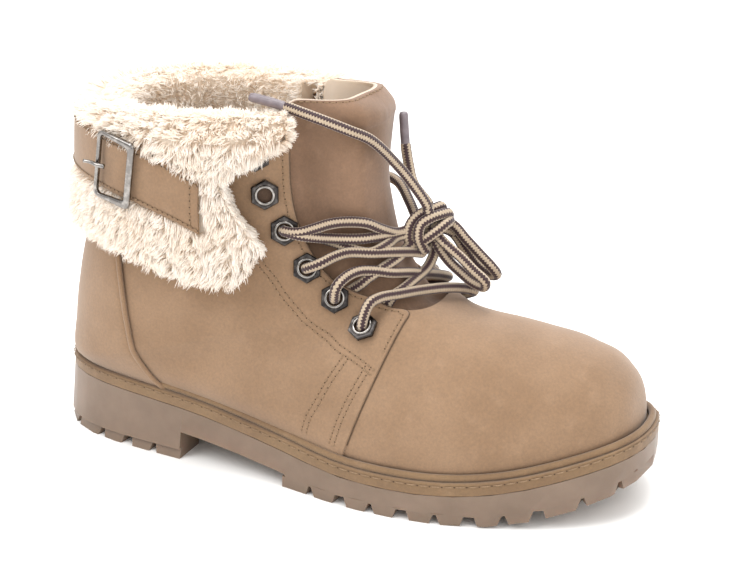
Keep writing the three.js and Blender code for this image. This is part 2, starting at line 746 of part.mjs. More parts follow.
function eyelet(spot) {
  const top = spot.lift + EYELET_FLANGE;
  const flange = placed(disc(EYELET_ACROSS_FLATS / Math.sqrt(3), spot.lift, top, 6), spot);
  const barrel = placed(disc(barrelRadius, -EYELET_SINK, top - 0.2, ROUND_SIDES), spot);
  const hole = placed(disc(EYELET_HOLE / 2, -2 * EYELET_SINK, 4 * EYELET_FLANGE, ROUND_SIDES), spot);
  return flange.add(barrel).subtract(hole);
}

// All that lies below the upper's seat on the welt.
function seatCutter() {
  const beyond = 12;
  return planPlate(stations(0, 1, 32), -beyond, () => -beyond, (x) => weltTop(x) + CLEARANCE);
}

function upper() {
  const lower = ROWS.filter((p) => p <= 0.85);
  const hem = 3;
  const quarters = lastSolid(QUARTER_STEP, { rows: lower, drop: hem }).intersect(quarterRegion());
  const outer = lastSolid(0, { drop: hem }).add(quarters).subtract(seatCutter());
  const cavity = lastSolid(-UPPER_WALL, { drop: 8, above: 8 });
  const holes = EYELETS.map((spot) => placed(disc(barrelRadius + CLEARANCE, -9, 6, ROUND_SIDES), spot));
  return outer.subtract(cavity).subtract(throatCutter()).subtract(union(holes));
}

// The heel counter: a second layer over the back of the quarters, with a rolled seam along its front edge.
// Places are shares of the sole's length and of the collar's height.
const COUNTER_TOP = 0.7;
const COUNTER_EDGE = [
  { x: 0.162, z: 0.63 },
  { x: 0.168, z: 0.52 },
  { x: 0.176, z: 0.41 },
  { x: 0.189, z: 0.31 },
  { x: 0.202, z: 0.26 },
];
const PIPING_DIAMETER = 2.6;
const COUNTER_BASE = QUARTER_STEP + 1.5 * CLEARANCE;
// How far a cutter drawn from the side reaches past the boot on either side.
const SIDE_REACH = 90;

function counterRegion(beyond) {
  const edge = COUNTER_EDGE.map(({ x, z }) => [x * SOLE_LENGTH + beyond, z * COLLAR_HEIGHT]);
  const top = COUNTER_TOP * COLLAR_HEIGHT;
  const foot = edge[edge.length - 1][0];
  edge.reverse();
  edge.push([edge[edge.length - 1][0], top]);
  const behind = -SIDE_REACH / 3;
  return sideCutter([[behind, 0], [foot, 0], ...edge, [behind, top]], -SIDE_REACH, SIDE_REACH);
}

function heelCounter() {
  const rows = ROWS.filter((p) => p <= 0.58);
  const layer = lastSolid(COUNTER_BASE + COUNTER_THICKNESS, { rows, drop: 3 }).intersect(counterRegion(0));
  const under = lastSolid(COUNTER_BASE, { drop: 12, above: 8 });
  const pipings = SIDES.map((side) => {
    const points = COUNTER_EDGE.map(({ x, z }) => {
      const { p, angle } = onSide(x * SOLE_LENGTH, z * COLLAR_HEIGHT, side);
      return skin(p, angle, side, COUNTER_BASE + PIPING_DIAMETER / 2 + 0.1).toArray();
    });
    return cordSolid(points, PIPING_DIAMETER, { sides: 6, steps: 7 });
  });
  return largest(union([layer, ...pipings]).subtract(under).subtract(seatCutter()));
}

// The angle on a ring at a distance from the centre plane, in front of the ring's widest place.
function crownAngle(p, y, side) {
  const ring = ringAt(p);
  const reach = clamp(Math.abs(y - ring.ridge) / ring.half[side], 0, 0.995);
  return Math.PI - Math.asin(reach ** (ring.crown / 2));
}

// The tongue: a thick sheet under the throat that bulges out between the quarters and stands over the collar.
// rise is a share of what stands over the collar, half of the tongue's half width, bulge of its crown.
const TONGUE = [
  { p: 0.63, rise: 0, half: 0.7, bulge: 0.0 },
  { p: 0.56, rise: 0, half: 0.8, bulge: 0.0 },
  { p: 0.5, rise: 0, half: 0.86, bulge: 0.0 },
  { p: 0.44, rise: 0, half: 0.9, bulge: 0.15 },
  { p: 0.38, rise: 0, half: 0.92, bulge: 0.26 },
  { p: 0.3, rise: 0, half: 0.94, bulge: 0.38 },
  { p: 0.22, rise: 0, half: 0.96, bulge: 0.52 },
  { p: 0.14, rise: 0, half: 0.98, bulge: 0.72 },
  { p: 0.06, rise: 0, half: 0.98, bulge: 0.92 },
  { p: 0.0, rise: 0, half: 0.92, bulge: 1.0 },
  { p: 0.0, rise: 0.45, half: 0.88, bulge: 0.98 },
  { p: 0.0, rise: 0.8, half: 0.84, bulge: 0.86 },
  { p: 0.0, rise: 1.0, half: 0.7, bulge: 0.7 },
];
const TONGUE_HALF_WIDTH = 34;
const TONGUE_GAP = 2.1;

function tongue(grow = 0) {
  const columns = 10;
  const over = TONGUE_HEIGHT - SHAFT[0].frontZ * COLLAR_HEIGHT;
  const loops = TONGUE.map((row) => {
    const open = throatHalf(ringAt(row.p).front[0]);
    const at = (share, depth) => {
      const y = share * (row.half * TONGUE_HALF_WIDTH + grow);
      const side = y < 0 ? LATERAL : MEDIAL;
      const free = 1 - smooth(Math.abs(y), 0.35 * open, 0.88 * open);
      const crown = row.bulge * TONGUE_CROWN * free;
      const offset = -UPPER_WALL - TONGUE_GAP + crown - depth;
      return skin(row.p, crownAngle(row.p, y, side), side, offset, row.rise * over);
    };
    const shares = Array.from({ length: columns + 1 }, (_, k) => (2 * k) / columns - 1);
    return [
      ...shares.map((share) => at(share, -grow)),
      ...shares.reverse().map((share) => at(share, TONGUE_THICKNESS + grow)),
    ];
  });
  return ringSolid(loops);
}

// The ring of the shaft that passes a height, at an angle.
function ringAtHeight(z, angle, side) {
  let [low, high] = [0, HEEL_RING];
  for (let i = 0; i < 24; i++) {
    const middle = (low + high) / 2;
    if (lastPoint(middle, angle, side).z > z) low = middle;
    else high = middle;
  }
  return (low + high) / 2;
}

// The cuff: fleece folded over the collar. Each row is a point of its section: p on the shaft, lift over the
// collar as a share of the roll's height, and the offset as a share of the cuff's or the lining's thickness.
const CUFF_CHANNEL = 3.9;
const CUFF_INSIDE = UPPER_WALL + 1.5;
const CUFF_SECTION = [
  { p: 0.19, lift: 0, out: 0.22 },
  { p: 0.2, lift: 0, out: 0.55 },
  { p: 0.18, lift: 0, out: 0.9 },
  { p: 0.13, lift: 0, out: 1.0 },
  { p: 0.07, lift: 0, out: 0.86 },
  { p: 0.02, lift: 0, out: 1.0 },
  { p: 0.0, lift: 0.45, out: 0.92 },
  { p: 0.0, lift: 0.9, out: 0.45 },
  { p: 0.0, lift: 1.0, out: 0.0 },
  { p: 0.0, lift: 0.8, in: 0.75 },
  { p: 0.0, lift: 0.3, in: 1.0 },
  { p: 0.06, lift: 0, in: 1.0 },
  { p: 0.15, lift: 0, in: 0.95 },
  { p: 0.24, lift: 0, in: 0.55 },
  { p: 0.24, lift: 0, in: 0.0 },
  { p: 0.12, lift: 0, in: 0.0 },
  { p: 0.0, lift: 0.1, in: 0.0 },
  { p: 0.0, lift: 0.1, out: 0.0 },
  { p: 0.09, lift: 0, out: 0.05 },
];
// The cuff's front edge: how far it stands behind the throat's edge, in millimetres, down the shaft. hem is
// how low its bottom hangs, from the front edge (0) to the back (1), as a share of the section's p.
const CUFF_FRONT = [
  { at: 0.0, setback: 3 },
  { at: 0.02, setback: 12 },
  { at: 0.07, setback: 18 },
  { at: 0.13, setback: 17 },
  { at: 0.26, setback: 13 },
];
const CUFF_HEM = [
  { at: 0.0, hem: 0.95 },
  { at: 0.13, hem: 1.26 },
  { at: 0.32, hem: 1.02 },
  { at: 0.6, hem: 0.86 },
  { at: 1.0, hem: 0.8 },
];
const LINING_SETBACK = 19;
// Triangles that close the cuff's two front ends, as rows of CUFF_SECTION: strips across the fold.
const CUFF_CAP = [
  [0, 1, 2], [0, 2, 3], [0, 3, 18], [18, 3, 4], [18, 4, 5], [18, 5, 17], [17, 5, 6], [17, 6, 7], [17, 7, 8],
  [17, 8, 16], [16, 8, 9], [16, 9, 10], [16, 10, 11], [16, 11, 15], [15, 11, 12], [15, 12, 13], [15, 13, 14],
];

function cuffPoint(row, share, side) {
  const inside = row.in !== undefined;
  const p = inside ? row.p : row.p * lerp(1, column(CUFF_HEM, "hem", share), smooth(row.p, 0.05, 0.18));
  const setback = inside ? LINING_SETBACK : column(CUFF_FRONT, "setback", p);
  const front = quarterAngle(p, side, shareFromThroat(p, side, setback));
  const offset = inside
    ? -CUFF_INSIDE - row.in * (CUFF_LINING - CLEARANCE)
    : CUFF_CHANNEL + row.out * (CUFF_THICKNESS - CUFF_CHANNEL);
  return skin(p, lerp(front, 0, share), side, offset, row.lift * CUFF_ROLL);
}

// The share at which a ring's wall is a given distance from the throat's edge.
function shareFromThroat(p, side, distance) {
  let walked = 0;
  let before = lastPoint(p, quarterAngle(p, side, 0), side);
  const steps = 40;
  for (let i = 1; i <= steps; i++) {
    const next = lastPoint(p, quarterAngle(p, side, i / steps), side);
    const step = next.distanceTo(before);
    if (walked + step >= distance) return (i - 1 + (distance - walked) / step) / steps;
    walked += step;
    before = next;
  }
  return 1;
}

// A lock of wool: a bent, tapered tuft that stands out of the cuff.
function lock(base, direction, droop, size) {
  const rings = 2;
  const sides = 4;
  const aside = Math.abs(direction.z) > 0.9 ? new THREE.Vector3(1, 0, 0) : new THREE.Vector3(0, 0, 1);
  const across = new THREE.Vector3().crossVectors(direction, aside).normalize();
  const up = new THREE.Vector3().crossVectors(across, direction);
  const loops = [];
  for (let i = 0; i <= rings; i++) {
    const t = i / rings;
    const centre = base.clone().addScaledVector(direction, size * (t - 0.35));
    centre.addScaledVector(droop, size * t * t);
    const radius = 0.62 * size * (1 - 0.8 * t);
    loops.push(
      Array.from({ length: sides }, (_, k) => {
        const a = (2 * Math.PI * k) / sides;
        return centre
          .clone()
          .addScaledVector(across, radius * Math.cos(a))
          .addScaledVector(up, radius * Math.sin(a));
      }),
    );
  }
  return ringSolid(loops);
}

const CUFF_STATIONS = 8;
const LOCK_RINGS = [
  { row: 2, every: 2, size: 1.0 },
  { row: 5, every: 2, size: 0.9 },
  { row: 7, every: 2, size: 1.05 },
];

function cuff() {
  const stops = [];
  for (let i = 0; i <= CUFF_STATIONS; i++) stops.push([LATERAL, i / CUFF_STATIONS]);
  for (let i = CUFF_STATIONS - 1; i >= 0; i--) stops.push([MEDIAL, i / CUFF_STATIONS]);
  const sections = stops.map(([side, share]) => CUFF_SECTION.map((row) => cuffPoint(row, share, side)));
  const body = ringSolid(sections, { cap: CUFF_CAP });
  const locks = [];
  LOCK_RINGS.forEach(({ row, every, size }, ringIndex) => {
    stops.forEach(([side, share], k) => {
      if ((k + ringIndex) % every) return;
      const section = CUFF_SECTION[row];
      const base = cuffPoint(section, share, side);
      const inner = cuffPoint({ ...section, out: 0.2 }, share, side);
      const out = base.clone().sub(inner);
      if (row === 7) out.set(0, 0, 1);
      out.normalize();
      const droop = new THREE.Vector3(0, 0, row === 7 ? 0 : -0.45);
      locks.push(lock(base, out, droop, LOCK_LENGTH * size));
    });
  });
  const pockets = EYELETS.filter((spot) => spot.row < 2).map((spot) =>
    placed(disc(EYELET_ACROSS_FLATS / Math.sqrt(3) + 2 * CLEARANCE, -1, 3 * EYELET_FLANGE, 6), spot),
  );
  const rooms = [strapRoom(), underlayRoom(), buckleRoom(), tongue(2 * CLEARANCE)];
  return largest(union([body, ...locks]).subtract(union([...pockets, ...rooms])));
}

// The straps run round the cuff at one height. STRAP_END is the angle of the ring at which the strap stops.
const STRAP_HEIGHT = 0.93 * COLLAR_HEIGHT;
const STRAP_DIP = 15;
const STRAP_FACE = CUFF_THICKNESS - 1;
const STRAP_END = 1.84;
const STRAP_ROOM = 0.4;
const UNDERLAY = { from: 1.0, to: 1.66, raised: 3 };

// Height of the straps' middle at an angle: it dips from the back towards the front.
const strapHeight = (angle) => STRAP_HEIGHT - STRAP_DIP * (angle / STRAP_END) ** 5;

// A band between two angles, each of one side. inner is how far its inner face is off the last, and raised
// how far its middle is above the straps' line.
function band(stops, raised, width, inner, thickness) {
  return ringSolid(
    stops.map(([side, angle]) => {
      const at = (z, offset) => {
        const p = ringAtHeight(z, angle, side);
        return skin(p, angle, side, offset, p < 1e-3 ? z - lastPoint(0, angle, side).z : 0);
      };
      const middle = strapHeight(angle) + raised;
      const [low, high] = [middle - width / 2, middle + width / 2];
      return [
        at(low, inner),
        at(low, inner + thickness),
        at(middle, inner + thickness),
        at(high, inner + thickness),
        at(high, inner),
        at(middle, inner),
      ];
    }),
  );
}

function roundTheBack(end, count) {
  const stops = [];
  for (let k = -count; k <= count; k++) stops.push([k < 0 ? LATERAL : MEDIAL, (Math.abs(k) / count) * end]);
  return stops;
}

function alongOneSide(side, from, to, count) {
  return Array.from({ length: count + 1 }, (_, k) => [side, lerp(from, to, k / count)]);
}

const strapRoom = () =>
  band(roundTheBack(STRAP_END + 0.03, 8), 0, STRAP_WIDTH + 1, STRAP_FACE - STRAP_ROOM, 12);

function strap() {
  return band(roundTheBack(STRAP_END, 11), 0, STRAP_WIDTH, STRAP_FACE, STRAP_THICKNESS);
}

// The buckle's own strap, which shows as a second layer above and behind the first.
const underlayFace = STRAP_FACE - STRAP_THICKNESS - STRAP_ROOM;
const underlayStops = (more) => alongOneSide(LATERAL, UNDERLAY.from - more, UNDERLAY.to + more, 5);
const underlayRoom = () =>
  band(underlayStops(0.03), UNDERLAY.raised, STRAP_WIDTH + 1, underlayFace - STRAP_ROOM, 12);

function buckleStrap() {
  return band(underlayStops(0), UNDERLAY.raised, STRAP_WIDTH, underlayFace, STRAP_THICKNESS);
}

// The buckle's frame: x along the strap towards the toe, y up, z out of the boot, with its back at z = 0.
const BUCKLE_ANGLE = 1.25;
const BUCKLE_HEIGHT = STRAP_WIDTH + 5.6;
const BUCKLE_STANDOFF = 1.6;

function buckleBasis() {
  const face = (angle, offset) =>
    skin(ringAtHeight(strapHeight(angle), angle, LATERAL), angle, LATERAL, offset);
  const spread = 0.16;
  const over = STRAP_FACE + STRAP_THICKNESS + BUCKLE_STANDOFF;
  const [behind, ahead] = [face(BUCKLE_ANGLE - spread, over), face(BUCKLE_ANGLE + spread, over)];
  const along = ahead.clone().sub(behind).normalize();
  const up = new THREE.Vector3(0, 0, 1).addScaledVector(along, -along.z).normalize();
  const out = new THREE.Vector3().crossVectors(along, up);
  const middle = behind.add(ahead).multiplyScalar(0.5);
  return new THREE.Matrix4().makeBasis(along, up, out).setPosition(middle);
}

const onBuckle = (geometry) => fromGeometry(geometry.applyMatrix4(buckleBasis()));

function buckleRoom() {
  const size = [BUCKLE_LENGTH + 3, BUCKLE_HEIGHT + 2, 14];
  return onBuckle(new THREE.BoxGeometry(...size).translate(0, 0, size[2] / 2 - STRAP_THICKNESS - 1));
}

function buckleFrame() {
  const [w, h] = [BUCKLE_LENGTH / 2, BUCKLE_HEIGHT / 2];
  const corner = 1.6;
  const outline = [
    [-w + corner, -h],
    [w - corner, -h],
    [w, -h + corner],
    [w, h - corner],
    [w - corner, h],
    [-w + corner, h],
    [-w, h - corner],
    [-w, -h + corner],
  ];
  const shape = new THREE.Shape(outline.map(([x, y]) => new THREE.Vector2(x, y)));
  const [left, right] = [-w + BUCKLE_BAR, w - BUCKLE_FACE_BAR];
  const [low, high] = [-h + BUCKLE_BAR, h - BUCKLE_BAR];
  const hole = new THREE.Path();
  hole.moveTo(left, low);
  hole.lineTo(left, high);
  hole.lineTo(right, high);
  hole.lineTo(right, low);
  hole.closePath();
  shape.holes.push(hole);
  return onBuckle(new THREE.ExtrudeGeometry(shape, { depth: BUCKLE_BAR, bevelEnabled: false }));
}

// The prong's tip, which comes through the strap and rests on the frame's back bar.
const PRONG = { inside: 3, beyond: 4.5, diameter: 2 };

function buckleProng() {
  const z = BUCKLE_BAR + CLEARANCE + PRONG.diameter / 2;
  const back = -BUCKLE_LENGTH / 2;
  const points = [back + BUCKLE_BAR + PRONG.inside, back, back - PRONG.beyond].map((x) =>
    new THREE.Vector3(x, 0, z).applyMatrix4(buckleBasis()).toArray(),
  );
  return cordSolid(points, PRONG.diameter, { sides: 8, steps: 2 });
}

// The lace. Its points are chosen by hand on the boot: x from the back of the sole, y and z as modelled.
// The strands that cross the tongue, from the outer eyelets down to the ones that run under them.
const STRANDS = [
  [[158.5, -36, 81], [160.5, -31.5, 85.5], [163, -26, 87], [168.5, -19, 87], [174.5, -10, 86.5],
    [182, 0, 85.5], [187, 9, 83], [190, 15, 80]],
  [[146, -36, 87.5], [147, -34, 92.5], [149.5, -29.5, 95.7], [153, -24.7, 97], [158, -20.5, 96.5],
    [164, -16, 95], [168.5, -9, 93.5], [172.5, -1, 91], [175.5, 8, 88], [177, 17, 84]],
  [[133.5, -35.5, 98.6], [138.5, -32.7, 100.7], [143, -28.2, 103], [147.5, -24.5, 104.3], [157, -19.5, 104],
    [164.5, -12, 103], [168.5, -4, 101], [170.5, 2, 99]],
  [[123.6, -36.2, 113.5], [129.3, -34, 112.5], [134.5, -30, 111], [140, -25, 109.7], [151.5, -19.5, 109.5],
    [157.5, -13, 109.5], [162.4, -6.6, 109.5]],
  [[123.6, -36.2, 113.5], [129.3, -34, 113.5], [134.5, -29.7, 114.7], [139, -25.7, 116],
    [144.5, -22.5, 116.8], [153, -17.5, 116], [158, -12.5, 112.5], [162.4, -6.6, 109.7]],
  [[162, -7, 107.5], [160.5, -13.5, 106], [155.5, -20, 104]],
  [[165.8, -5, 102], [164.5, -11, 100], [160, -18, 96.5], [155.5, -22, 93], [153.7, -23, 91.2]],
  [[174.8, 4.8, 97.6], [173.5, 1, 93], [171, -8, 90], [168.5, -14, 87.5], [165.5, -17.3, 85]],
];
// The knot in front of the tongue: three turns of the lace round one another.
const KNOT_TURNS = [
  [[168, -3, 111], [172, 0, 117], [177, 6, 117], [178, 11, 111], [175, 9.5, 105], [170, 5, 104.5]],
  [[165.5, 4, 105], [168, 8, 112], [173, 9, 116.5], [179, 5, 113], [179.5, 2, 106], [175, 0, 102.5]],
  [[168, 0.5, 105.5], [173, 4, 109], [178, 7.5, 112]],
];
// The bow's two loops, its two ends, and the aglets on them.
const BOW_LOOPS = [
  [[181.4, 10, 110.8], [187, 11, 105], [193, 12.5, 98.5], [198.5, 14, 92.5], [199.5, 17, 88.5], [196, 19, 87],
    [190, 18, 91], [185, 15.5, 98.5], [180.5, 13, 106]],
  [[177.3, 4, 102.2], [181.5, 5.5, 96], [186.5, 7, 91], [192, 7.5, 87], [197.5, 6.5, 86], [199, 4, 89.5],
    [194, 2.5, 94.5], [188.5, 2, 99.5], [181.9, 1.5, 104.6]],
];
const LACE_ENDS = [
  [[174, 0.5, 120.5], [168.5, -2, 129.5], [162.5, -6, 139], [154.5, -17, 152.5], [148, -23, 157],
    [138, -26.5, 161], [129, -27.5, 163.5], [122.5, -27.5, 165]],
  [[170.7, 9.3, 117.9], [162, 12.5, 126], [158.5, 15, 134], [157, 15.5, 141]],
];
const AGLETS = [
  [[121.9, -27.6, 165.1], [114, -28, 166.7], [105, -28.5, 168]],
  [[156.8, 15.5, 142], [156, 16, 149], [155.5, 16, 156]],
];
const AGLET_DIAMETER = 4;

const laceCord = (points) => cordSolid(points, LACE_DIAMETER, { sides: 8 });

const laceBars = () => union(STRANDS.map(laceCord));
const laceKnot = () => union(KNOT_TURNS.map(laceCord));

// How far a finished face may lie off the modelled one, in millimetres.
const FINENESS = 0.04;
const COARSE = 0.12;
const root = new THREE.Group();
const boot = new THREE.Group();
boot.position.x = -planX(HEEL_CLEAT, 0);
root.add(boot);
const colours = {
  rubber: 0x8f7a6b,
  welt: 0x9a7d5c,
  leather: 0xb08f6e,
  metal: 0x55504c,
  fleece: 0xf0e6d8,
  lace: 0xb59a80,
};
function add(name, solid, colour, fineness = FINENESS) {
  const finish = new THREE.MeshStandardMaterial({ color: colour, roughness: 0.7 });
  const mesh = new THREE.Mesh(toGeometry(solid.simplify(fineness)), finish);
  mesh.name = name;
  boot.add(mesh);
}
add("outsole", outsole(), colours.rubber, COARSE);
add("welt", welt(), colours.welt);
add("insole", insole(), colours.welt);
add("rand", bead(), colours.welt, COARSE);
add("upper", upper(), colours.leather, 2 * FINENESS);
add("heel_counter", heelCounter(), colours.leather, 2 * FINENESS);
add("tongue", tongue(), colours.leather);
add("cuff", cuff(), colours.fleece, COARSE);
add("strap", strap(), colours.leather);
add("buckle_strap", buckleStrap(), colours.leather);
add("buckle_frame", buckleFrame(), colours.metal);
add("buckle_prong", buckleProng(), colours.metal);
add("lace_bars", laceBars(), colours.lace, COARSE);
add("lace_knot", laceKnot(), colours.lace, COARSE);
[0, 1].forEach((i) => {
  add(`bow_loop_${i + 1}`, laceCord(BOW_LOOPS[i]), colours.lace);
  add(`lace_end_${i + 1}`, laceCord(LACE_ENDS[i]), colours.lace);
  add(`aglet_${i + 1}`, cordSolid(AGLETS[i], AGLET_DIAMETER, { sides: 8, steps: 2 }), colours.metal);
});
EYELETS.forEach((spot) => {
  const name = `eyelet_${spot.side === LATERAL ? "outer" : "inner"}_${spot.row + 1}`;
  add(name, eyelet(spot), colours.metal, 2 * FINENESS);
});

export default root;
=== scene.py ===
"""Looks of a right-foot sheepskin ankle boot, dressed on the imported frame.

Sizes are millimetres on the boot, with x = 0 at the back of the sole, as the part was worked out. A mesh gets
metres in the row's frame when it is made.
"""

from __future__ import annotations

import logging
import math
from dataclasses import dataclass, field
from enum import Enum
from typing import Callable, Sequence

import bmesh
import bpy
import numpy as np
from mathutils import Matrix, Vector


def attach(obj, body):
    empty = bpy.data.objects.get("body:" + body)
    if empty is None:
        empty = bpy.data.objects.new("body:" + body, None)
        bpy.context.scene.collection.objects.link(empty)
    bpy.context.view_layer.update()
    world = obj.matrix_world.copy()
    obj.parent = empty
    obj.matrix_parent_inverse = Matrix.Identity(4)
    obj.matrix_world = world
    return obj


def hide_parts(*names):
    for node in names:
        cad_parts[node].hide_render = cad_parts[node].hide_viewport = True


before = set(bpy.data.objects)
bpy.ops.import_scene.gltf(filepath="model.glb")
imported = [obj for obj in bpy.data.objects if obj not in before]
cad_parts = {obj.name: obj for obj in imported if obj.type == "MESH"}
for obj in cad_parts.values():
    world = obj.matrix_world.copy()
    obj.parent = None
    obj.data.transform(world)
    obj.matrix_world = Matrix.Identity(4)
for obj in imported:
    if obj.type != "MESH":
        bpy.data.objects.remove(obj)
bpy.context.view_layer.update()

LOG = logging.getLogger("boot")
MM = 0.001
SEED = 7

SOLE_LENGTH = 276.0
BALL_HALF_WIDTH = 51.0
HEEL_HEIGHT = 34.0
FOREFOOT_THICKNESS = 18.2
TOE_SPRING = 17.0
WELT_LEDGE = 5.6
WELT_HEIGHT = 5.5
BEAD_MARGIN = 1.4
BEAD_DIAMETER = 3.2
COLLAR_HEIGHT = 150.0
INSTEP_RISE = 60.0
ANKLE_HALF_WIDTH = 38.0
UPPER_WALL = 2.2
QUARTER_STEP = 1.2
COUNTER_THICKNESS = 1.3
THROAT_HALF_WIDTH = 27.0
CLEARANCE = 0.3
TONGUE_THICKNESS = 3.4
TONGUE_HEIGHT = 167.0
TONGUE_CROWN = 22.0
TONGUE_HALF_WIDTH = 34.0
TONGUE_GAP = 2.1
CUFF_THICKNESS = 11.0
CUFF_ROLL = 9.0
STRAP_WIDTH = 24.0
STRAP_THICKNESS = 2.0
BUCKLE_LENGTH = 20.0
BUCKLE_BAR = 2.2
EYELET_ACROSS_FLATS = 11.4
EYELET_HOLE = 6.4
EYELET_FLANGE = 1.5
LACE_DIAMETER = 4.6
HEEL_MIDDLE = 0.1305 * SOLE_LENGTH

BOOT_MIDDLE = (110.0, 0.0, 60.0)

LATERAL = -1
MEDIAL = 1
SIDES = (LATERAL, MEDIAL)

# The camera as fitted to the photograph: pixels for its focal length and shift, millimetres for its distance.
CAMERA_AZIMUTH = math.radians(24.278)
CAMERA_ELEVATION = math.radians(22.011)
CAMERA_DISTANCE = 834.609
CAMERA_TARGET = (138.0, 0.0, 60.0)
PHOTO_WIDTH = 750
FOCAL_LENGTH = 1886.48
SHIFT = (24.315, 45.508)
SENSOR_WIDTH = 36.0


def _camera_axes() -> tuple[tuple[float, float, float], ...]:
    """Returns the camera's directions to the right, up and back towards it."""
    east, north = math.cos(CAMERA_AZIMUTH), math.sin(CAMERA_AZIMUTH)
    level, rise = math.cos(CAMERA_ELEVATION), math.sin(CAMERA_ELEVATION)
    return (east, north, 0.0), (-north * rise, east * rise, level), (north * level, -east * level, rise)


CAMERA_AXES = _camera_axes()


class Slot(str, Enum):
    """The record's material slots."""

    SOLE = "sole_rubber"
    WELT = "welt_leather"
    NUBUCK = "nubuck"
    FLEECE = "lining_fleece"
    METAL = "gunmetal"
    LACE = "lace_cord"
    AGLET = "aglet_plastic"


class Table:
    """A table of sections with named columns, read on a smooth curve through its rows."""

    def __init__(self, names: str, rows: Sequence[Sequence[float]]) -> None:
        """Keeps the columns and works out their tangents.

        Args:
            names: The columns' names, the first of which is the place of the row.
            rows: One row of numbers for each section.
        """
        keys = names.split()
        data = np.array(rows, dtype=float)
        self.at = data[:, 0]
        self.values = {key: data[:, k] for k, key in enumerate(keys)}
        gaps = np.diff(self.at)
        self.gaps = gaps
        self.tangents = {}
        for key, column in self.values.items():
            slopes = np.diff(column) / gaps
            tangent = np.empty_like(column)
            tangent[0], tangent[-1] = slopes[0], slopes[-1]
            tangent[1:-1] = (slopes[:-1] * gaps[1:] + slopes[1:] * gaps[:-1]) / (gaps[:-1] + gaps[1:])
            self.tangents[key] = tangent

    def __call__(self, key: str, at: np.ndarray | float) -> np.ndarray:
        """Reads one column.

        Args:
            key: The column's name.
            at: The places to read it at.

        Returns:
            The column's values there.
        """
        at = np.asarray(at, dtype=float)
        i = np.clip(np.searchsorted(self.at, at, side="left") - 1, 0, len(self.gaps) - 1)
        width = self.gaps[i]
        t = np.clip((at - self.at[i]) / width, 0, 1)
        column, tangent = self.values[key], self.tangents[key]
        t2, t3 = t * t, t * t * t
        return (
            (2 * t3 - 3 * t2 + 1) * column[i]
            + (t3 - 2 * t2 + t) * width * tangent[i]
            + (3 * t2 - 2 * t3) * column[i + 1]
            + (t3 - t2) * width * tangent[i + 1]
        )


PLAN = Table(
    "at half centre",
    [
        (0.0, 0.67, 0.02), (0.1, 0.69, 0.03), (0.2, 0.72, 0.0), (0.32, 0.735, -0.06), (0.45, 0.775, -0.12),
        (0.58, 0.925, -0.11), (0.7, 0.99, -0.04), (0.82, 0.96, 0.07), (0.92, 0.91, 0.13), (1.0, 0.88, 0.14),
    ],
)
HEEL_ROUND = (0.16, 2.4)
TOE_ROUND = (0.24, 2.3)
PROFILE = Table(
    "at heel spring",
    [(0.0, 1.0, 0.0), (0.28, 0.72, 0.0), (0.6, 0.03, 0.0), (0.78, 0.0, 0.12), (1.0, 0.0, 1.0)],
)
SHAFT = Table(
    "at backX backZ frontX frontZ half widest round crown",
    [
        (0.0, 0.08, 1.0, 0.495, 1.03, 1.1, 0.45, 2.2, 2.05),
        (0.08, 0.072, 0.84, 0.503, 0.875, 1.07, 0.43, 2.2, 2.1),
        (0.17, 0.057, 0.667, 0.524, 0.76, 1.05, 0.41, 2.25, 2.3),
        (0.25, 0.036, 0.5, 0.553, 0.67, 1.045, 0.38, 2.3, 2.8),
        (0.33, 0.023, 0.347, 0.588, 0.608, 1.04, 0.35, 2.35, 3.4),
    ],
)
FOOT = Table(
    "at backX frontX frontZ ridge swell widest round crown",
    [
        (0.39, 0.0, 0.614, 0.897, 0.0, 1.1, 0.345, 2.4, 3.9),
        (0.41, 0.015, 0.62, 0.879, 0.0, 1.12, 0.343, 2.4, 4.0),
        (0.45, 0.1, 0.633, 0.86, 0.003, 1.22, 0.34, 2.35, 4.1),
        (0.52, 0.245, 0.662, 0.85, 0.005, 1.28, 0.34, 2.3, 4.0),
        (0.6, 0.395, 0.697, 0.885, 0.0, 1.16, 0.3, 2.25, 3.4),
        (0.68, 0.526, 0.737, 0.925, 0.0, 1.06, 0.27, 2.2, 2.8),
        (0.76, 0.64, 0.785, 0.92, 0.02, 1.03, 0.25, 2.2, 2.5),
        (0.84, 0.76, 0.838, 0.855, 0.06, 1.03, 0.26, 2.2, 2.3),
        (0.91, 0.873, 0.902, 0.7, 0.11, 1.03, 0.27, 2.2, 2.25),
        (0.96, 0.945, 0.96, 0.5, 0.14, 1.03, 0.28, 2.2, 2.2),
        (0.985, 0.982, 0.989, 0.29, 0.145, 1.02, 0.3, 2.2, 2.2),
        (1.0, 1.0, 1.0, 0.05, 0.15, 1.0, 0.3, 2.2, 2.2),
    ],
)
HEEL_RING = 0.39
HALF_BLEND = 0.17
THROAT_TAPER = (0.78, 0.5, 0.64)
THROAT_CORNER = 9.0
THROAT_TIP = 5.0
THROAT_ROUND = 2.6
SHAFT_MIDDLE = 90.0
QUARTER_FRONT = (0.64, 0.56, 0.33)


def lerp(a: np.ndarray | float, b: np.ndarray | float, t: np.ndarray | float) -> np.ndarray:
    """Returns the value at t of the way from a to b."""
    return a + (b - a) * t


def smooth(x: np.ndarray | float, low: float, high: float) -> np.ndarray:
    """Returns the smooth step of x from low to high."""
    t = np.clip((np.asarray(x, dtype=float) - low) / (high - low), 0, 1)
    return t * t * (3 - 2 * t)


def rounded_end(share: np.ndarray, power: float) -> np.ndarray:
    """Returns how far a rounded end has opened at a share of its own length."""
    return (1 - (1 - np.clip(share, 0, 1)) ** power) ** (1 / power)


def unit(v: np.ndarray) -> np.ndarray:
    """Returns directions of length 1."""
    return v / np.maximum(np.linalg.norm(v, axis=-1, keepdims=True), 1e-9)


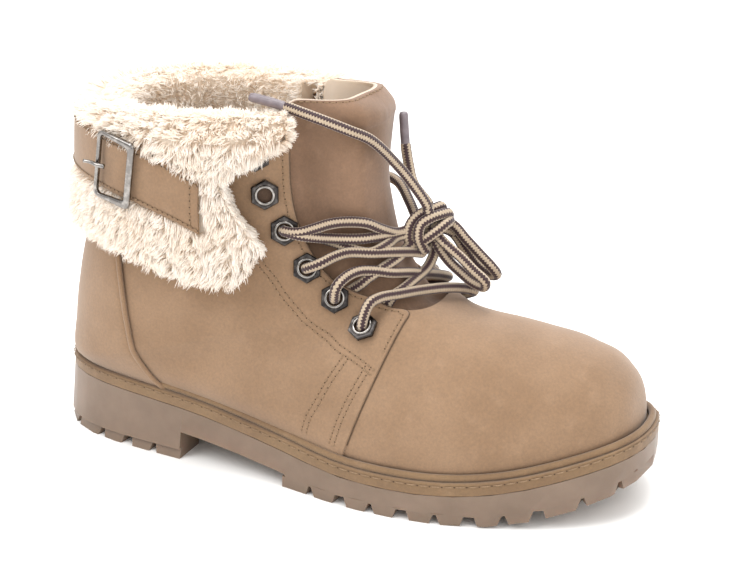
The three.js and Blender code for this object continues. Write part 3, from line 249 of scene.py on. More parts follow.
def between(a: np.ndarray, b: np.ndarray | float, share: np.ndarray) -> np.ndarray:
    """Returns, for each pair of a and b, a row of values at shares of the way."""
    return lerp(a[:, None], b[:, None] if isinstance(b, np.ndarray) else b, share[None, :])


def walked(points: np.ndarray) -> np.ndarray:
    """Returns the length of lines up to each of their points."""
    steps = np.linalg.norm(np.diff(points, axis=-2), axis=-1)
    return np.concatenate([np.zeros_like(steps[..., :1]), np.cumsum(steps, axis=-1)], axis=-1)


def read_at(at: np.ndarray, lengths: np.ndarray, points: np.ndarray) -> np.ndarray:
    """Returns what a line's points say at lengths along it."""
    return np.stack([np.interp(at, lengths, points[:, k]) for k in range(3)], axis=1)


def plan_x(s: np.ndarray | float, inset: float) -> np.ndarray:
    """Returns x at a share of the length of the plan drawn in by an inset."""
    return inset + np.asarray(s) * (SOLE_LENGTH - 2 * inset)


def plan_y(s: np.ndarray, side: int, inset: float) -> np.ndarray:
    """Returns the plan's edge on one side at a share of the length."""
    opened = rounded_end(s / HEEL_ROUND[0], HEEL_ROUND[1]) * rounded_end((1 - s) / TOE_ROUND[0], TOE_ROUND[1])
    half = PLAN("half", s) * BALL_HALF_WIDTH - inset
    return PLAN("centre", s) * BALL_HALF_WIDTH + side * half * opened


def welt_top(x: np.ndarray | float) -> np.ndarray:
    """Returns the height of the welt's top at a distance from the back of the sole."""
    s = np.clip(np.asarray(x) / SOLE_LENGTH, 0, 1)
    rise = PROFILE("heel", s) * (HEEL_HEIGHT - FOREFOOT_THICKNESS)
    return FOREFOOT_THICKNESS + rise + PROFILE("spring", s) * TOE_SPRING


def _rings() -> Table:
    """Returns the last's rings in millimetres, from the shaft's and the foot's tables."""
    rows = []
    for i, at in enumerate(SHAFT.at):
        v = {k: c[i] for k, c in SHAFT.values.items()}
        rows.append(
            (at, v["backX"] * SOLE_LENGTH, v["backZ"] * COLLAR_HEIGHT, v["frontX"] * SOLE_LENGTH,
             v["frontZ"] * COLLAR_HEIGHT, v["half"] * ANKLE_HALF_WIDTH, 0.0, FOOT.values["swell"][0],
             v["widest"], v["round"], v["crown"])
        )
    for i, at in enumerate(FOOT.at):
        v = {k: c[i] for k, c in FOOT.values.items()}
        back = float(plan_x(v["backX"], WELT_LEDGE))
        seat = float(welt_top(back)) + CLEARANCE
        rows.append(
            (at, back, seat, v["frontX"] * (SOLE_LENGTH - WELT_LEDGE), seat + v["frontZ"] * INSTEP_RISE,
             SHAFT.values["half"][-1] * ANKLE_HALF_WIDTH, v["ridge"] * BALL_HALF_WIDTH, v["swell"],
             v["widest"], v["round"], v["crown"])
        )
    return Table("at backX backZ frontX frontZ half ridge swell widest round crown", rows)


RINGS = _rings()


@dataclass
class Ring:
    """Rings of the last at some places p: their ends, widths and starts on one side."""

    p: np.ndarray
    side: int
    ridge: np.ndarray = field(init=False)
    widest: np.ndarray = field(init=False)
    round: np.ndarray = field(init=False)
    crown: np.ndarray = field(init=False)
    back: np.ndarray = field(init=False)
    front: np.ndarray = field(init=False)
    half: np.ndarray = field(init=False)
    start: np.ndarray = field(init=False)

    def __post_init__(self) -> None:
        """Works the rings out from the table."""
        p = self.p = np.asarray(self.p, dtype=float)
        self.ridge, self.widest = RINGS("ridge", p), RINGS("widest", p)
        self.round, self.crown = RINGS("round", p), RINGS("crown", p)
        on_sole = p > HEEL_RING
        back_x = RINGS("backX", p)
        back_z = np.where(on_sole, welt_top(back_x) + CLEARANCE, RINGS("backZ", p))
        self.back = np.stack([back_x, back_z], axis=-1)
        self.front = np.stack([RINGS("frontX", p), RINGS("frontZ", p)], axis=-1)
        s = np.clip((back_x - WELT_LEDGE) / (SOLE_LENGTH - 2 * WELT_LEDGE), 0, 1)
        feather = self.side * (plan_y(s, self.side, WELT_LEDGE) - self.ridge)
        edge = np.where(on_sole, np.maximum(feather, 0), 0)
        wide = (PLAN("half", s) + self.side * PLAN("centre", s)) * BALL_HALF_WIDTH - WELT_LEDGE
        wide = np.where(s > HEEL_ROUND[0], 0, wide)
        plan = np.where(on_sole, np.maximum(edge, wide), 0)
        half = lerp(RINGS("half", p), plan * RINGS("swell", p), smooth(p, HEEL_RING, HEEL_RING + HALF_BLEND))
        half = np.maximum(half, edge * 1.002)
        tip = p >= 1
        share = np.clip(edge / np.maximum(half, 1e-9), 0, 1)
        self.half = np.where(tip, 0, half)
        self.start = np.where(tip, 0, np.arcsin(share ** (self.round / 2)))


class Last:
    """The last's surface and what is measured on it."""

    @staticmethod
    def point(p: np.ndarray, turn: np.ndarray, side: int) -> np.ndarray:
        """Returns points of the last.

        Args:
            p: The place along the boot, from 0 at the collar to 1 at the toe.
            turn: The angle round the ring, from 0 at the back to pi on the ridge.
            side: LATERAL or MEDIAL.

        Returns:
            An array with the points in its last axis.
        """
        p, turn = np.broadcast_arrays(np.asarray(p, dtype=float), np.asarray(turn, dtype=float))
        ring = Ring(p, side)
        angle = np.maximum(turn, ring.start)

        def along(a: np.ndarray) -> np.ndarray:
            near = ring.widest * (1 - np.cos(a))
            return np.where(a < np.pi / 2, near, ring.widest - (1 - ring.widest) * np.cos(a))

        first = along(ring.start)
        t = (along(angle) - first) / (1 - first)
        power = np.where(angle < np.pi / 2, ring.round, ring.crown)
        out = ring.half * np.maximum(0, np.sin(angle)) ** (2 / power)
        x = lerp(ring.back[..., 0], ring.front[..., 0], t)
        z = lerp(ring.back[..., 1], ring.front[..., 1], t)
        return np.stack([x, ring.ridge + side * out, z], axis=-1)

    @staticmethod
    def normal(p: np.ndarray, angle: np.ndarray, side: int) -> np.ndarray:
        """Returns the last's outward directions."""
        p, angle = np.broadcast_arrays(np.asarray(p, dtype=float), np.asarray(angle, dtype=float))
        step, turn, pole = 0.012, 0.06, 0.035
        start = Ring(p, side).start
        low = np.clip(p - step, 0, 0.99)
        high = np.clip(p + step, low + step, 1)
        a0 = np.clip(angle - turn / 2, start + 0.01, np.pi - 0.07)
        mid = np.clip(p, 0, 0.992)
        across = Last.point(mid, a0 + turn, side) - Last.point(mid, a0, side)
        down = Last.point(high, angle, side) - Last.point(low, angle, side)
        normal = np.cross(across, down) * side
        flat = (angle > np.pi - pole) | ((p <= HEEL_RING) & (angle < pole))
        normal[..., 1] = np.where(flat, 0, normal[..., 1])
        normal = np.where((p >= 1)[..., None], np.array([1.0, 0.0, 0.0]), normal)
        return unit(normal)

    @staticmethod
    def skin(p: np.ndarray, angle: np.ndarray, side: int, offset: np.ndarray | float,
             rise: np.ndarray | float = 0.0) -> np.ndarray:
        """Returns the surface pushed out by an offset, and lifted by a rise."""
        point = Last.point(p, angle, side) + Last.normal(p, angle, side) * np.asarray(offset)[..., None]
        point[..., 2] += rise
        return point

    @staticmethod
    def first_below(p: np.ndarray, side: int, inside: Callable[[np.ndarray], np.ndarray]) -> np.ndarray:
        """Returns, for each ring, the angle up to which a test stays positive, or pi."""
        samples = 420
        start = Ring(p, side).start
        angles = between(start, np.pi, np.linspace(0, 1, samples))
        value = inside(Last.point(p[:, None], angles, side))
        below = value < 0
        k = np.where(below.any(axis=1), below.argmax(axis=1), samples - 1)
        before = np.maximum(k - 1, 0)
        rows = np.arange(len(p))
        v0, v1 = value[rows, before], value[rows, k]
        t = np.clip(v0 / np.where(np.abs(v0 - v1) < 1e-9, 1, v0 - v1), 0, 1)
        crossing = lerp(angles[rows, before], angles[rows, k], t)
        return np.where(below.any(axis=1), crossing, np.pi)

    @staticmethod
    def on_side(x: np.ndarray, z: np.ndarray, side: int) -> tuple[np.ndarray, np.ndarray]:
        """Returns the ring and angle of points of one side that are seen at (x, z) from the side."""
        columns = 90
        grid_p = np.linspace(0, 0.96, 130)
        angles = between(Ring(grid_p, side).start, np.pi, np.linspace(0.03, 0.97, columns))
        seen = Last.point(grid_p[:, None], angles, side).reshape(-1, 3)
        far = (seen[None, :, 0] - x[:, None]) ** 2 + (seen[None, :, 2] - z[:, None]) ** 2
        best = far.argmin(axis=1)
        p = np.repeat(grid_p, columns)[best]
        angle = angles.reshape(-1)[best]
        h = 1e-4
        for _ in range(10):
            here = Last.point(p, angle, side)
            by_p = (Last.point(p + h, angle, side) - here) / h
            by_a = (Last.point(p, angle + h, side) - here) / h
            fx, fz = here[..., 0] - x, here[..., 2] - z
            det = by_p[..., 0] * by_a[..., 2] - by_a[..., 0] * by_p[..., 2]
            det = np.where(np.abs(det) < 1e-6, 1e-6, det)
            p = np.clip(p - (by_a[..., 2] * fx - by_a[..., 0] * fz) / det, 0, 0.99)
            angle = np.clip(angle - (by_p[..., 0] * fz - by_p[..., 2] * fx) / det, 0.01, np.pi - 0.01)
        return p, angle


def throat_half(x: np.ndarray) -> np.ndarray:
    """Returns the throat's half width at a distance from the back."""
    narrow, start, end = THROAT_TAPER
    return THROAT_HALF_WIDTH * lerp(1, narrow, smooth(x, start * SOLE_LENGTH, end * SOLE_LENGTH))


def outside_throat(v: np.ndarray) -> np.ndarray:
    """Returns how far points are outside the throat, less than 0 inside it."""
    end = QUARTER_FRONT[0] * SOLE_LENGTH
    first, last = end - THROAT_CORNER, end + THROAT_TIP
    t = np.clip((v[..., 0] - first) / (last - first), 0, 1)
    half = throat_half(v[..., 0]) * (1 - t**THROAT_ROUND) ** (1 / THROAT_ROUND)
    behind = np.maximum(SHAFT_MIDDLE - v[..., 0], 0)
    return np.abs(v[..., 1]) - half + np.maximum(v[..., 0] - last, 0) + 2 * behind


def behind_front(v: np.ndarray) -> np.ndarray:
    """Returns how far points are behind the quarter's front edge."""
    x, z, slant = QUARTER_FRONT
    return SOLE_LENGTH * x + (v[..., 2] - z * COLLAR_HEIGHT) * slant - v[..., 0]


def in_quarter(v: np.ndarray) -> np.ndarray:
    """Returns how far points are inside the quarter, whose lower front corner at the throat is round."""
    a, b = outside_throat(v), behind_front(v)
    soft = 5.0
    h = np.clip(0.5 + 0.5 * (b - a) / soft, 0, 1)
    return lerp(b, a, h) - soft * h * (1 - h)


def throat_angle(p: np.ndarray, side: int) -> np.ndarray:
    """Returns the angle at which the throat's edge crosses rings of the shaft."""
    ring = Ring(p, side)
    reach = np.clip(throat_half(ring.front[..., 0]) / ring.half, 0, 0.98)
    return np.pi - np.arcsin(reach ** (ring.crown / 2))


def srgb(code: str) -> tuple[float, float, float, float]:
    """Returns a hex colour as linear red, green, blue and alpha."""
    parts = [int(code[i : i + 2], 16) / 255 for i in (1, 3, 5)]
    red, green, blue = (c / 12.92 if c <= 0.04045 else ((c + 0.055) / 1.055) ** 2.4 for c in parts)
    return red, green, blue, 1.0


class Graph:
    """A material's node tree with a short way to add and join nodes."""

    def __init__(self, name: str) -> None:
        """Makes a material with one shader.

        Args:
            name: The material's name.
        """
        self.material = bpy.data.materials.new(name)
        self.material.use_nodes = True
        self.tree = self.material.node_tree
        self.shader = self.tree.nodes["Principled BSDF"]

    def node(self, kind: str, **values: object) -> bpy.types.Node:
        """Adds a node and sets its properties, or its inputs by name.

        Args:
            kind: The node's type.
            values: Properties, or inputs with underscores for spaces. A socket is linked.

        Returns:
            The new node.
        """
        made = self.tree.nodes.new(kind)
        for key, value in values.items():
            if hasattr(made, key):
                setattr(made, key, value)
                continue
            self.put(made, key.replace("_", " "), value)
        return made

    def put(self, node: bpy.types.Node, key: str | int, value: object) -> None:
        """Sets or links one input of a node."""
        target = node.inputs[key]
        if isinstance(value, bpy.types.NodeSocket):
            self.tree.links.new(value, target)
        else:
            target.default_value = value

    def set(self, **values: object) -> None:
        """Sets or links inputs of the shader."""
        for key, value in values.items():
            self.put(self.shader, key.replace("_", " "), value)

    def coords(self) -> bpy.types.NodeSocket:
        """Returns the object's own coordinates, in metres."""
        return self.node("ShaderNodeTexCoord").outputs["Object"]

    def noise(self, size_mm: float, detail: float = 3.0, rough: float = 0.55) -> bpy.types.NodeSocket:
        """Returns a noise whose features are about size_mm across."""
        made = self.node("ShaderNodeTexNoise", Scale=1000 / size_mm, Detail=detail, Roughness=rough)
        self.put(made, "Vector", self.coords())
        return made.outputs["Fac"]

    def ramp(self, fac: bpy.types.NodeSocket, *stops: tuple[float, str]) -> bpy.types.NodeSocket:
        """Returns a colour ramp of a factor."""
        made = self.node("ShaderNodeValToRGB")
        self.put(made, "Fac", fac)
        elements = made.color_ramp.elements
        while len(elements) < len(stops):
            elements.new(0.5)
        for element, (place, code) in zip(elements, stops):
            element.position = place
            element.color = srgb(code)
        return made.outputs["Color"]

    def mix(self, fac: object, a: object, b: object, blend: str = "MIX") -> bpy.types.NodeSocket:
        """Returns a mix of two colours."""
        made = self.node("ShaderNodeMix", data_type="RGBA", blend_type=blend)
        for index, value in ((0, fac), (6, a), (7, b)):
            self.put(made, index, value)
        return made.outputs[2]

    def math(self, operation: str, a: object, b: object = 0.0, c: object = 0.0) -> bpy.types.NodeSocket:
        """Returns a sum worked out by one maths node."""
        made = self.node("ShaderNodeMath", operation=operation)
        for index, value in enumerate((a, b, c)):
            self.put(made, index, value)
        return made.outputs[0]

    def bump(self, height: bpy.types.NodeSocket, depth_mm: float, strength: float = 1.0,
             under: bpy.types.NodeSocket | None = None) -> bpy.types.NodeSocket:
        """Returns a bumped normal."""
        made = self.node("ShaderNodeBump", Strength=strength, Distance=depth_mm * MM)
        self.put(made, "Height", height)
        if under is not None:
            self.put(made, "Normal", under)
        return made.outputs["Normal"]


@dataclass(frozen=True)
class Nubuck:
    """Buffed leather: matt, with soft clouds, a fine nap and a few scuffs."""

    light: str = "#8E765F"
    dark: str = "#816952"
    scuff: str = "#A08770"

    def build(self, name: str) -> bpy.types.Material:
        """Returns the material."""
        g = Graph(name)
        clouds = g.ramp(g.noise(34, 4), (0.32, self.dark), (0.68, self.light))
        nap = g.noise(1.1, 4, 0.7)
        worn = g.ramp(g.noise(9, 5, 0.6), (0.56, "#000000"), (0.8, "#FFFFFF"))
        colour = g.mix(g.math("MULTIPLY", worn, 0.3), clouds, srgb(self.scuff))
        colour = g.mix(0.22, colour, g.ramp(nap, (0.3, "#6E5136"), (0.7, "#DABF9C")), "OVERLAY")
        normal = g.bump(nap, 0.12, 0.5)
        normal = g.bump(g.noise(5, 3), 0.35, 0.35, normal)
        g.set(Base_Color=colour, Roughness=0.86, Normal=normal)
        g.set(Sheen_Weight=0.25, Sheen_Roughness=0.5)
        g.put(g.shader, "Specular IOR Level", 0.28)
        return g.material


@dataclass(frozen=True)
class Rubber:
    """Moulded crepe-coloured rubber with a slight gloss and mottling."""

    light: str = "#786454"
    dark: str = "#6B5848"

    def build(self, name: str) -> bpy.types.Material:
        """Returns the material."""
        g = Graph(name)
        colour = g.ramp(g.noise(16, 5, 0.6), (0.3, self.dark), (0.7, self.light))
        normal = g.bump(g.noise(0.9, 3), 0.08, 0.4)
        g.set(Base_Color=colour, Roughness=0.42, Normal=normal)
        g.put(g.shader, "Subsurface Weight", 0.06)
        return g.material


@dataclass(frozen=True)
class Wool:
    """Sheepskin pile: cream, darker towards its root with painted shade deep in the pile, soft at its edge.
    """

    tip: str = "#FDF8F2"
    root: str = "#F6EADB"

    def build(self, name: str) -> bpy.types.Material:
        """Returns the material."""
        g = Graph(name)
        along = g.node("ShaderNodeAttribute", attribute_name="along").outputs["Fac"]
        # Darker towards the root: painted shade deep in the pile.
        colour = g.ramp(along, (0.0, self.root), (0.55, self.tip))
        colour = g.mix(0.35, colour, g.ramp(g.noise(14, 3), (0.35, "#FBF4EA"), (0.65, "#FFFFFF")), "MULTIPLY")
        g.set(Base_Color=colour, Roughness=0.9)
        g.put(g.shader, "Specular IOR Level", 0.15)
        through = g.node("ShaderNodeBsdfTranslucent", Color=colour)
        both = g.node("ShaderNodeMixShader", Fac=0.45)
        g.put(both, 1, g.shader.outputs[0])
        g.put(both, 2, through.outputs[0])
        g.put(g.tree.nodes["Material Output"], "Surface", both.outputs[0])
        return g.material


@dataclass(frozen=True)
class Metal:
    """Dark plated metal with polished faces and lighter worn spots; its light copy for the eyelets' lips is a
    painted highlight.
    """

    colour: str = "#3B3837"
    worn: str = "#6E6966"
    rough: float = 0.28

    def build(self, name: str) -> bpy.types.Material:
        """Returns the material."""
        g = Graph(name)
        spots = g.ramp(g.noise(2.5, 4), (0.45, self.colour), (0.8, self.worn))
        g.set(Base_Color=spots, Metallic=1.0, Roughness=self.rough)
        g.set(Normal=g.bump(g.noise(0.6, 2), 0.02, 0.3))
        return g.material


@dataclass(frozen=True)
class Braid:
    """Round two-colour braid: its strands zigzag along the cord. UV is round the cord and along it in mm."""

    light: str = "#AB9880"
    dark: str = "#2F1519"

    def build(self, name: str) -> bpy.types.Material:
        """Returns the material."""
        g = Graph(name)
        uv = g.node("ShaderNodeSeparateXYZ", Vector=g.node("ShaderNodeTexCoord").outputs["UV"])
        u, v = uv.outputs["X"], uv.outputs["Y"]
        rows = g.math("MULTIPLY", v, 1000 / 1.25)
        wave = g.math("PINGPONG", rows, 0.5)
        place = g.math("MULTIPLY_ADD", wave, 0.12, g.math("MULTIPLY", u, 1.0))
        band = g.math("PINGPONG", g.math("MULTIPLY", place, 8.0), 1.0)
        mask = g.math("GREATER_THAN", band, 0.47)
        cell = g.ramp(g.noise(0.7, 2), (0.3, "#927E68"), (0.7, "#BCAC98"))
        colour = g.mix(mask, g.mix(0.6, cell, srgb(self.light)), srgb(self.dark))
        ridge = g.math("ADD", wave, g.math("PINGPONG", g.math("MULTIPLY", u, 8.0), 0.5))
        g.set(Base_Color=colour, Roughness=0.7, Normal=g.bump(ridge, 0.35, 0.8))
        g.set(Sheen_Weight=0.2)
        return g.material


@dataclass(frozen=True)
class Plain:
    """A fine-grained finish of one tone, such as thread, edge paint or an aglet."""

    colour: str
    shade: str
    rough: float = 0.6
    grain_mm: float = 0.8
    depth_mm: float = 0.05

    def build(self, name: str) -> bpy.types.Material:
        """Returns the material."""
        g = Graph(name)
        grain = g.noise(self.grain_mm, 3)
        colour = g.ramp(grain, (0.3, self.shade), (0.7, self.colour))
        g.set(Base_Color=colour, Roughness=self.rough, Normal=g.bump(grain, self.depth_mm, 0.5))
        return g.material


class Palette:
    """The boot's materials, each made once."""

    def __init__(self) -> None:
        """Builds them."""
        self.nubuck = Nubuck().build("nubuck")
        # The tongue's nubuck is a darker copy of the upper's: painted shade of the throat that it sits in.
        self.tongue = Nubuck(light="#8A705D", dark="#755D4A").build("nubuck_tongue_shaded")
        self.sole = Rubber().build("rubber_sole")
        self.welt = Nubuck(light="#7E684E", dark="#705A44").build("welt_band")
        self.wool = Wool().build("sheepskin_pile")
        self.metal = Metal().build("gunmetal_plate")
        # The eyelets' lips get a lighter copy of the gunmetal, worn spots included: a painted highlight on
        # their rolled rims.
        self.bright = Metal(colour="#84807C", worn="#B3AEA9", rough=0.14).build("gunmetal_painted_highlight")
        self.buckle = Metal(colour="#7C7875", worn="#B4AFAA", rough=0.2).build("buckle_plate")
        self.braid = Braid().build("round_braid")
        self.thread = Plain("#8C7357", "#745C43", 0.7).build("sewing_thread")
        # Painted shade: a dark finish for the discs inside the eyelets' barrels.
        self.depth = Plain("#4E3A2B", "#3C2B1F", 0.9).build("eyelet_hole_shade")
        # Painted shadow: a dark finish for a tube along the quarters' raised edge.
        self.cut = Plain("#5E4936", "#4A3828", 0.85).build("edge_painted_shadow")
        # Painted shade: dark spots for the needle holes.
        self.hole = Plain("#4A3422", "#332214", 0.9).build("needle_hole_shade")
        self.edge = Plain("#B39169", "#A07D57", 0.45).build("painted_edge")
        self.aglet = Plain("#7B7074", "#665C60", 0.3, 3.0).build("aglet_sleeve")


class Piece:
    """One new mesh, gathered by bmesh, that ends as an object riding on the boot."""

    def __init__(self, name: str, finish: bpy.types.Material, slot: Slot,
                 replaces: Sequence[str] = ()) -> None:
        """Starts an empty piece.

        Args:
            name: The object's name.
            finish: Its material.
            slot: The record's material slot that it belongs to; not used.
            replaces: The CAD nodes that it stands for.
        """
        self.name, self.finish, self.slot, self.replaces = name, finish, slot, tuple(replaces)
        self.bm = bmesh.new()

    def grid(self, points: np.ndarray, uv: np.ndarray | None = None) -> None:
        """Adds a sheet of faces through rows and columns of points.

        Args:
            points: Rows by columns by 3, on the boot.
            uv: Rows by columns by 2, or None.
        """
        rows, columns = points.shape[:2]
        made = bmesh.ops.create_grid(self.bm, x_segments=columns - 1, y_segments=rows - 1, size=1.0)["verts"]
        placed = to_row(points.reshape(-1, 3))
        for vert, co in zip(made, placed):
            vert.co = co
        if uv is None:
            return
        layer = self.bm.loops.layers.uv.verify()
        flat = uv.reshape(-1, 2)
        where = {vert: k for k, vert in enumerate(made)}
        for face in {f for vert in made for f in vert.link_faces}:
            for loop in face.loops:
                loop[layer].uv = flat[where[loop.vert]]

    def weld(self, reach_mm: float = 0.004, capped: bool = False) -> Piece:
        """Joins points that lie on one another, and turns all faces the same way.

        Args:
            reach_mm: How close they lie.
            capped: Whether to close every open loop then.

        Returns:
            The piece.
        """
        bmesh.ops.remove_doubles(self.bm, verts=self.bm.verts, dist=reach_mm * MM)
        bmesh.ops.recalc_face_normals(self.bm, faces=self.bm.faces)
        if capped:
            bmesh.ops.holes_fill(self.bm, edges=[e for e in self.bm.edges if e.is_boundary], sides=0)
        return self

    def turn_out(self) -> Piece:
        """Turns an open sheet's faces so that they face away from the boot's middle."""
        centre = Vector(to_row(np.array(BOOT_MIDDLE)))
        total = sum((f.calc_center_median() - centre).dot(f.normal) * f.calc_area() for f in self.bm.faces)
        if total < 0:
            bmesh.ops.reverse_faces(self.bm, faces=self.bm.faces[:])
        return self

    def thicken(self, wall_mm: float) -> None:
        """Gives an open sheet a wall on its inner side."""
        bmesh.ops.solidify(self.bm, geom=self.bm.faces[:], thickness=wall_mm * MM)

    def done(self, sharp: float | None = None) -> bpy.types.Object:
        """Makes the object, and lets it ride on the boot.

        Args:
            sharp: The angle in degrees over which an edge stays sharp, or None.

        Returns:
            The object.
        """
        mesh = bpy.data.meshes.new(self.name)
        self.bm.to_mesh(mesh)
        self.bm.free()
        obj = on_boot(mesh, self.finish, sharp)
        if self.replaces:
            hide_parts(*self.replaces)
        return obj


def to_row(points: np.ndarray) -> np.ndarray:
    """Returns points of the boot in metres, in the row's frame."""
    moved = np.array(points, dtype=float)
    moved[..., 0] -= HEEL_MIDDLE
    return moved * MM


def on_boot(mesh: bpy.types.Mesh, finish: bpy.types.Material,
            sharp: float | None = None) -> bpy.types.Object:
    """Shows a mesh as an object that rides on the boot.

    Args:
        mesh: The mesh, which gives the object its name.
        finish: Its material.
        sharp: The angle in degrees over which an edge stays sharp, or None.

    Returns:
        The object.
    """
    obj = bpy.data.objects.new(mesh.name, mesh)
    bpy.context.scene.collection.objects.link(obj)
    mesh.materials.append(finish)
    mesh.shade_smooth()
    if sharp is not None:
        mesh.set_sharp_from_angle(angle=math.radians(sharp))
    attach(obj, "root")
    LOG.info("%s: %d faces", obj.name, len(mesh.polygons))
    return obj


def from_arrays(name: str, verts: np.ndarray, faces: np.ndarray, finish: bpy.types.Material,
                along: np.ndarray | None = None) -> bpy.types.Object:
    """Makes one mesh of many small repeated things.

    Args:
        name: The object's name.
        verts: Points on the boot.
        faces: Rows of vertex numbers, all of one length.
        finish: The material.
        along: A value for each vertex, kept as the attribute "along", or None.

    Returns:
        The object.
    """
    mesh = bpy.data.meshes.new(name)
    mesh.from_pydata(to_row(verts).tolist(), [], faces.tolist())
    if along is not None:
        layer = mesh.attributes.new("along", "FLOAT", "POINT")
        layer.data.foreach_set("value", along.astype(np.float32))
    return on_boot(mesh, finish)


def resample(points: np.ndarray, step: float) -> np.ndarray:
    """Returns a smooth curve through points, at even steps of its length."""
    pts = np.asarray(points, dtype=float)
    padded = np.vstack([2 * pts[0] - pts[1], pts, 2 * pts[-1] - pts[-2]])
    fine = []
    for i in range(len(pts) - 1):
        p0, p1, p2, p3 = padded[i : i + 4]
        knots = [0.0]
        for a, b in ((p0, p1), (p1, p2), (p2, p3)):
            knots.append(knots[-1] + max(np.linalg.norm(b - a), 1e-6) ** 0.5)
        t0, t1, t2, t3 = knots
        t = np.linspace(t1, t2, 24, endpoint=i == len(pts) - 2)[:, None]
        a1 = (t1 - t) / (t1 - t0) * p0 + (t - t0) / (t1 - t0) * p1
        a2 = (t2 - t) / (t2 - t1) * p1 + (t - t1) / (t2 - t1) * p2
        a3 = (t3 - t) / (t3 - t2) * p2 + (t - t2) / (t3 - t2) * p3
        b1 = (t2 - t) / (t2 - t0) * a1 + (t - t0) / (t2 - t0) * a2
        b2 = (t3 - t) / (t3 - t1) * a2 + (t - t1) / (t3 - t1) * a3
        fine.append((t2 - t) / (t2 - t1) * b1 + (t - t1) / (t2 - t1) * b2)
    line = np.vstack(fine)
    lengths = walked(line)
    count = max(2, int(round(lengths[-1] / step)) + 1)
    return read_at(np.linspace(0, lengths[-1], count), lengths, line)


def tube(piece: Piece, line: np.ndarray, radius: float | np.ndarray, sides: int = 12) -> None:
    """Adds a round tube along a line, with UV round it and along it in metres."""
    along = np.gradient(line, axis=0)
    along /= np.linalg.norm(along, axis=1, keepdims=True)
    across = np.zeros_like(line)
    first = np.cross(along[0], [0.1, 0.2, 1.0])
    across[0] = first / np.linalg.norm(first)
    for i in range(1, len(line)):
        side = across[i - 1] - along[i] * (across[i - 1] @ along[i])
        across[i] = side / np.linalg.norm(side)
    other = np.cross(along, across)
    turn = np.linspace(0, 2 * np.pi, sides + 1)
    reach = np.broadcast_to(np.asarray(radius, dtype=float), (len(line),))[:, None, None]
    rings = line[:, None, :] + reach * (
        np.cos(turn)[None, :, None] * across[:, None, :] + np.sin(turn)[None, :, None] * other[:, None, :]
    )
    uv = np.stack(np.broadcast_arrays((turn / (2 * np.pi))[None, :], walked(line)[:, None] * MM), axis=-1)
    piece.grid(rings, uv)


# Folds across the vamp where the ball of the foot bends it: x of the middle, width and depth in mm.
CREASES = (
    (186.0, 7.0, 0.35),
    (199.0, 8.0, 0.3),
    (150.0, 14.0, 0.3),
)


def creased(p: np.ndarray, angle: np.ndarray, side: int) -> np.ndarray:
    """Returns how far soft folds move the leather at places of the last."""
    v = Last.point(p, angle, side)
    depth = np.zeros(v.shape[:-1])
    for x, width, fold in CREASES:
        lean = x + 0.18 * (v[..., 2] - 60) + 2.0 * np.sin(v[..., 1] / 11)
        depth -= fold * np.exp(-(((v[..., 0] - lean) / width) ** 2))
    wave = np.sin(v[..., 0] / 17 + v[..., 1] / 31) * np.sin(v[..., 2] / 13 + v[..., 1] / 19)
    return depth + 0.22 * wave


def leather(p: np.ndarray, angle: np.ndarray, side: int, offset: np.ndarray | float) -> np.ndarray:
    """Returns the last pushed out by an offset, with the leather's folds.

    Args:
        p: The place of each ring.
        angle: One angle for each ring, or a row of angles.
        side: LATERAL or MEDIAL.
        offset: How far to push it out, in mm.

    Returns:
        The points.
    """
    wide = np.broadcast_to(p if angle.ndim == 1 else p[:, None], angle.shape)
    return Last.skin(wide, angle, side, offset + creased(wide, angle, side))


# The counter's foot as a share of the collar's height, and its front edge in shares of height and length.
COUNTER_FOOT = 0.2
COUNTER_EDGE = Table(
    "z x",
    [(0.2, 0.235), (0.24, 0.212), (0.31, 0.189), (0.41, 0.176), (0.52, 0.168), (0.63, 0.162), (0.72, 0.16)],
)
# Seams as seen from the side: x and z in mm, top first.
FACING = np.array(
    [(111, 102), (112.4, 97.5), (117.9, 91.1), (121.9, 85.4), (127.5, 79.6), (132.9, 74.4), (138.4, 70.5),
     (144.2, 68.3), (149, 66.1), (153.8, 64.6), (161, 61.2), (167, 58)], dtype=float)
STRIP = np.array([(153.3, 63.1), (147.2, 52.4), (142.5, 42.7), (138.6, 35), (136.6, 27.4)], dtype=float)
EDGE_STRIP = np.array([(163.6, 60), (158.4, 48.7), (154.1, 37.5), (150.6, 25)], dtype=float)


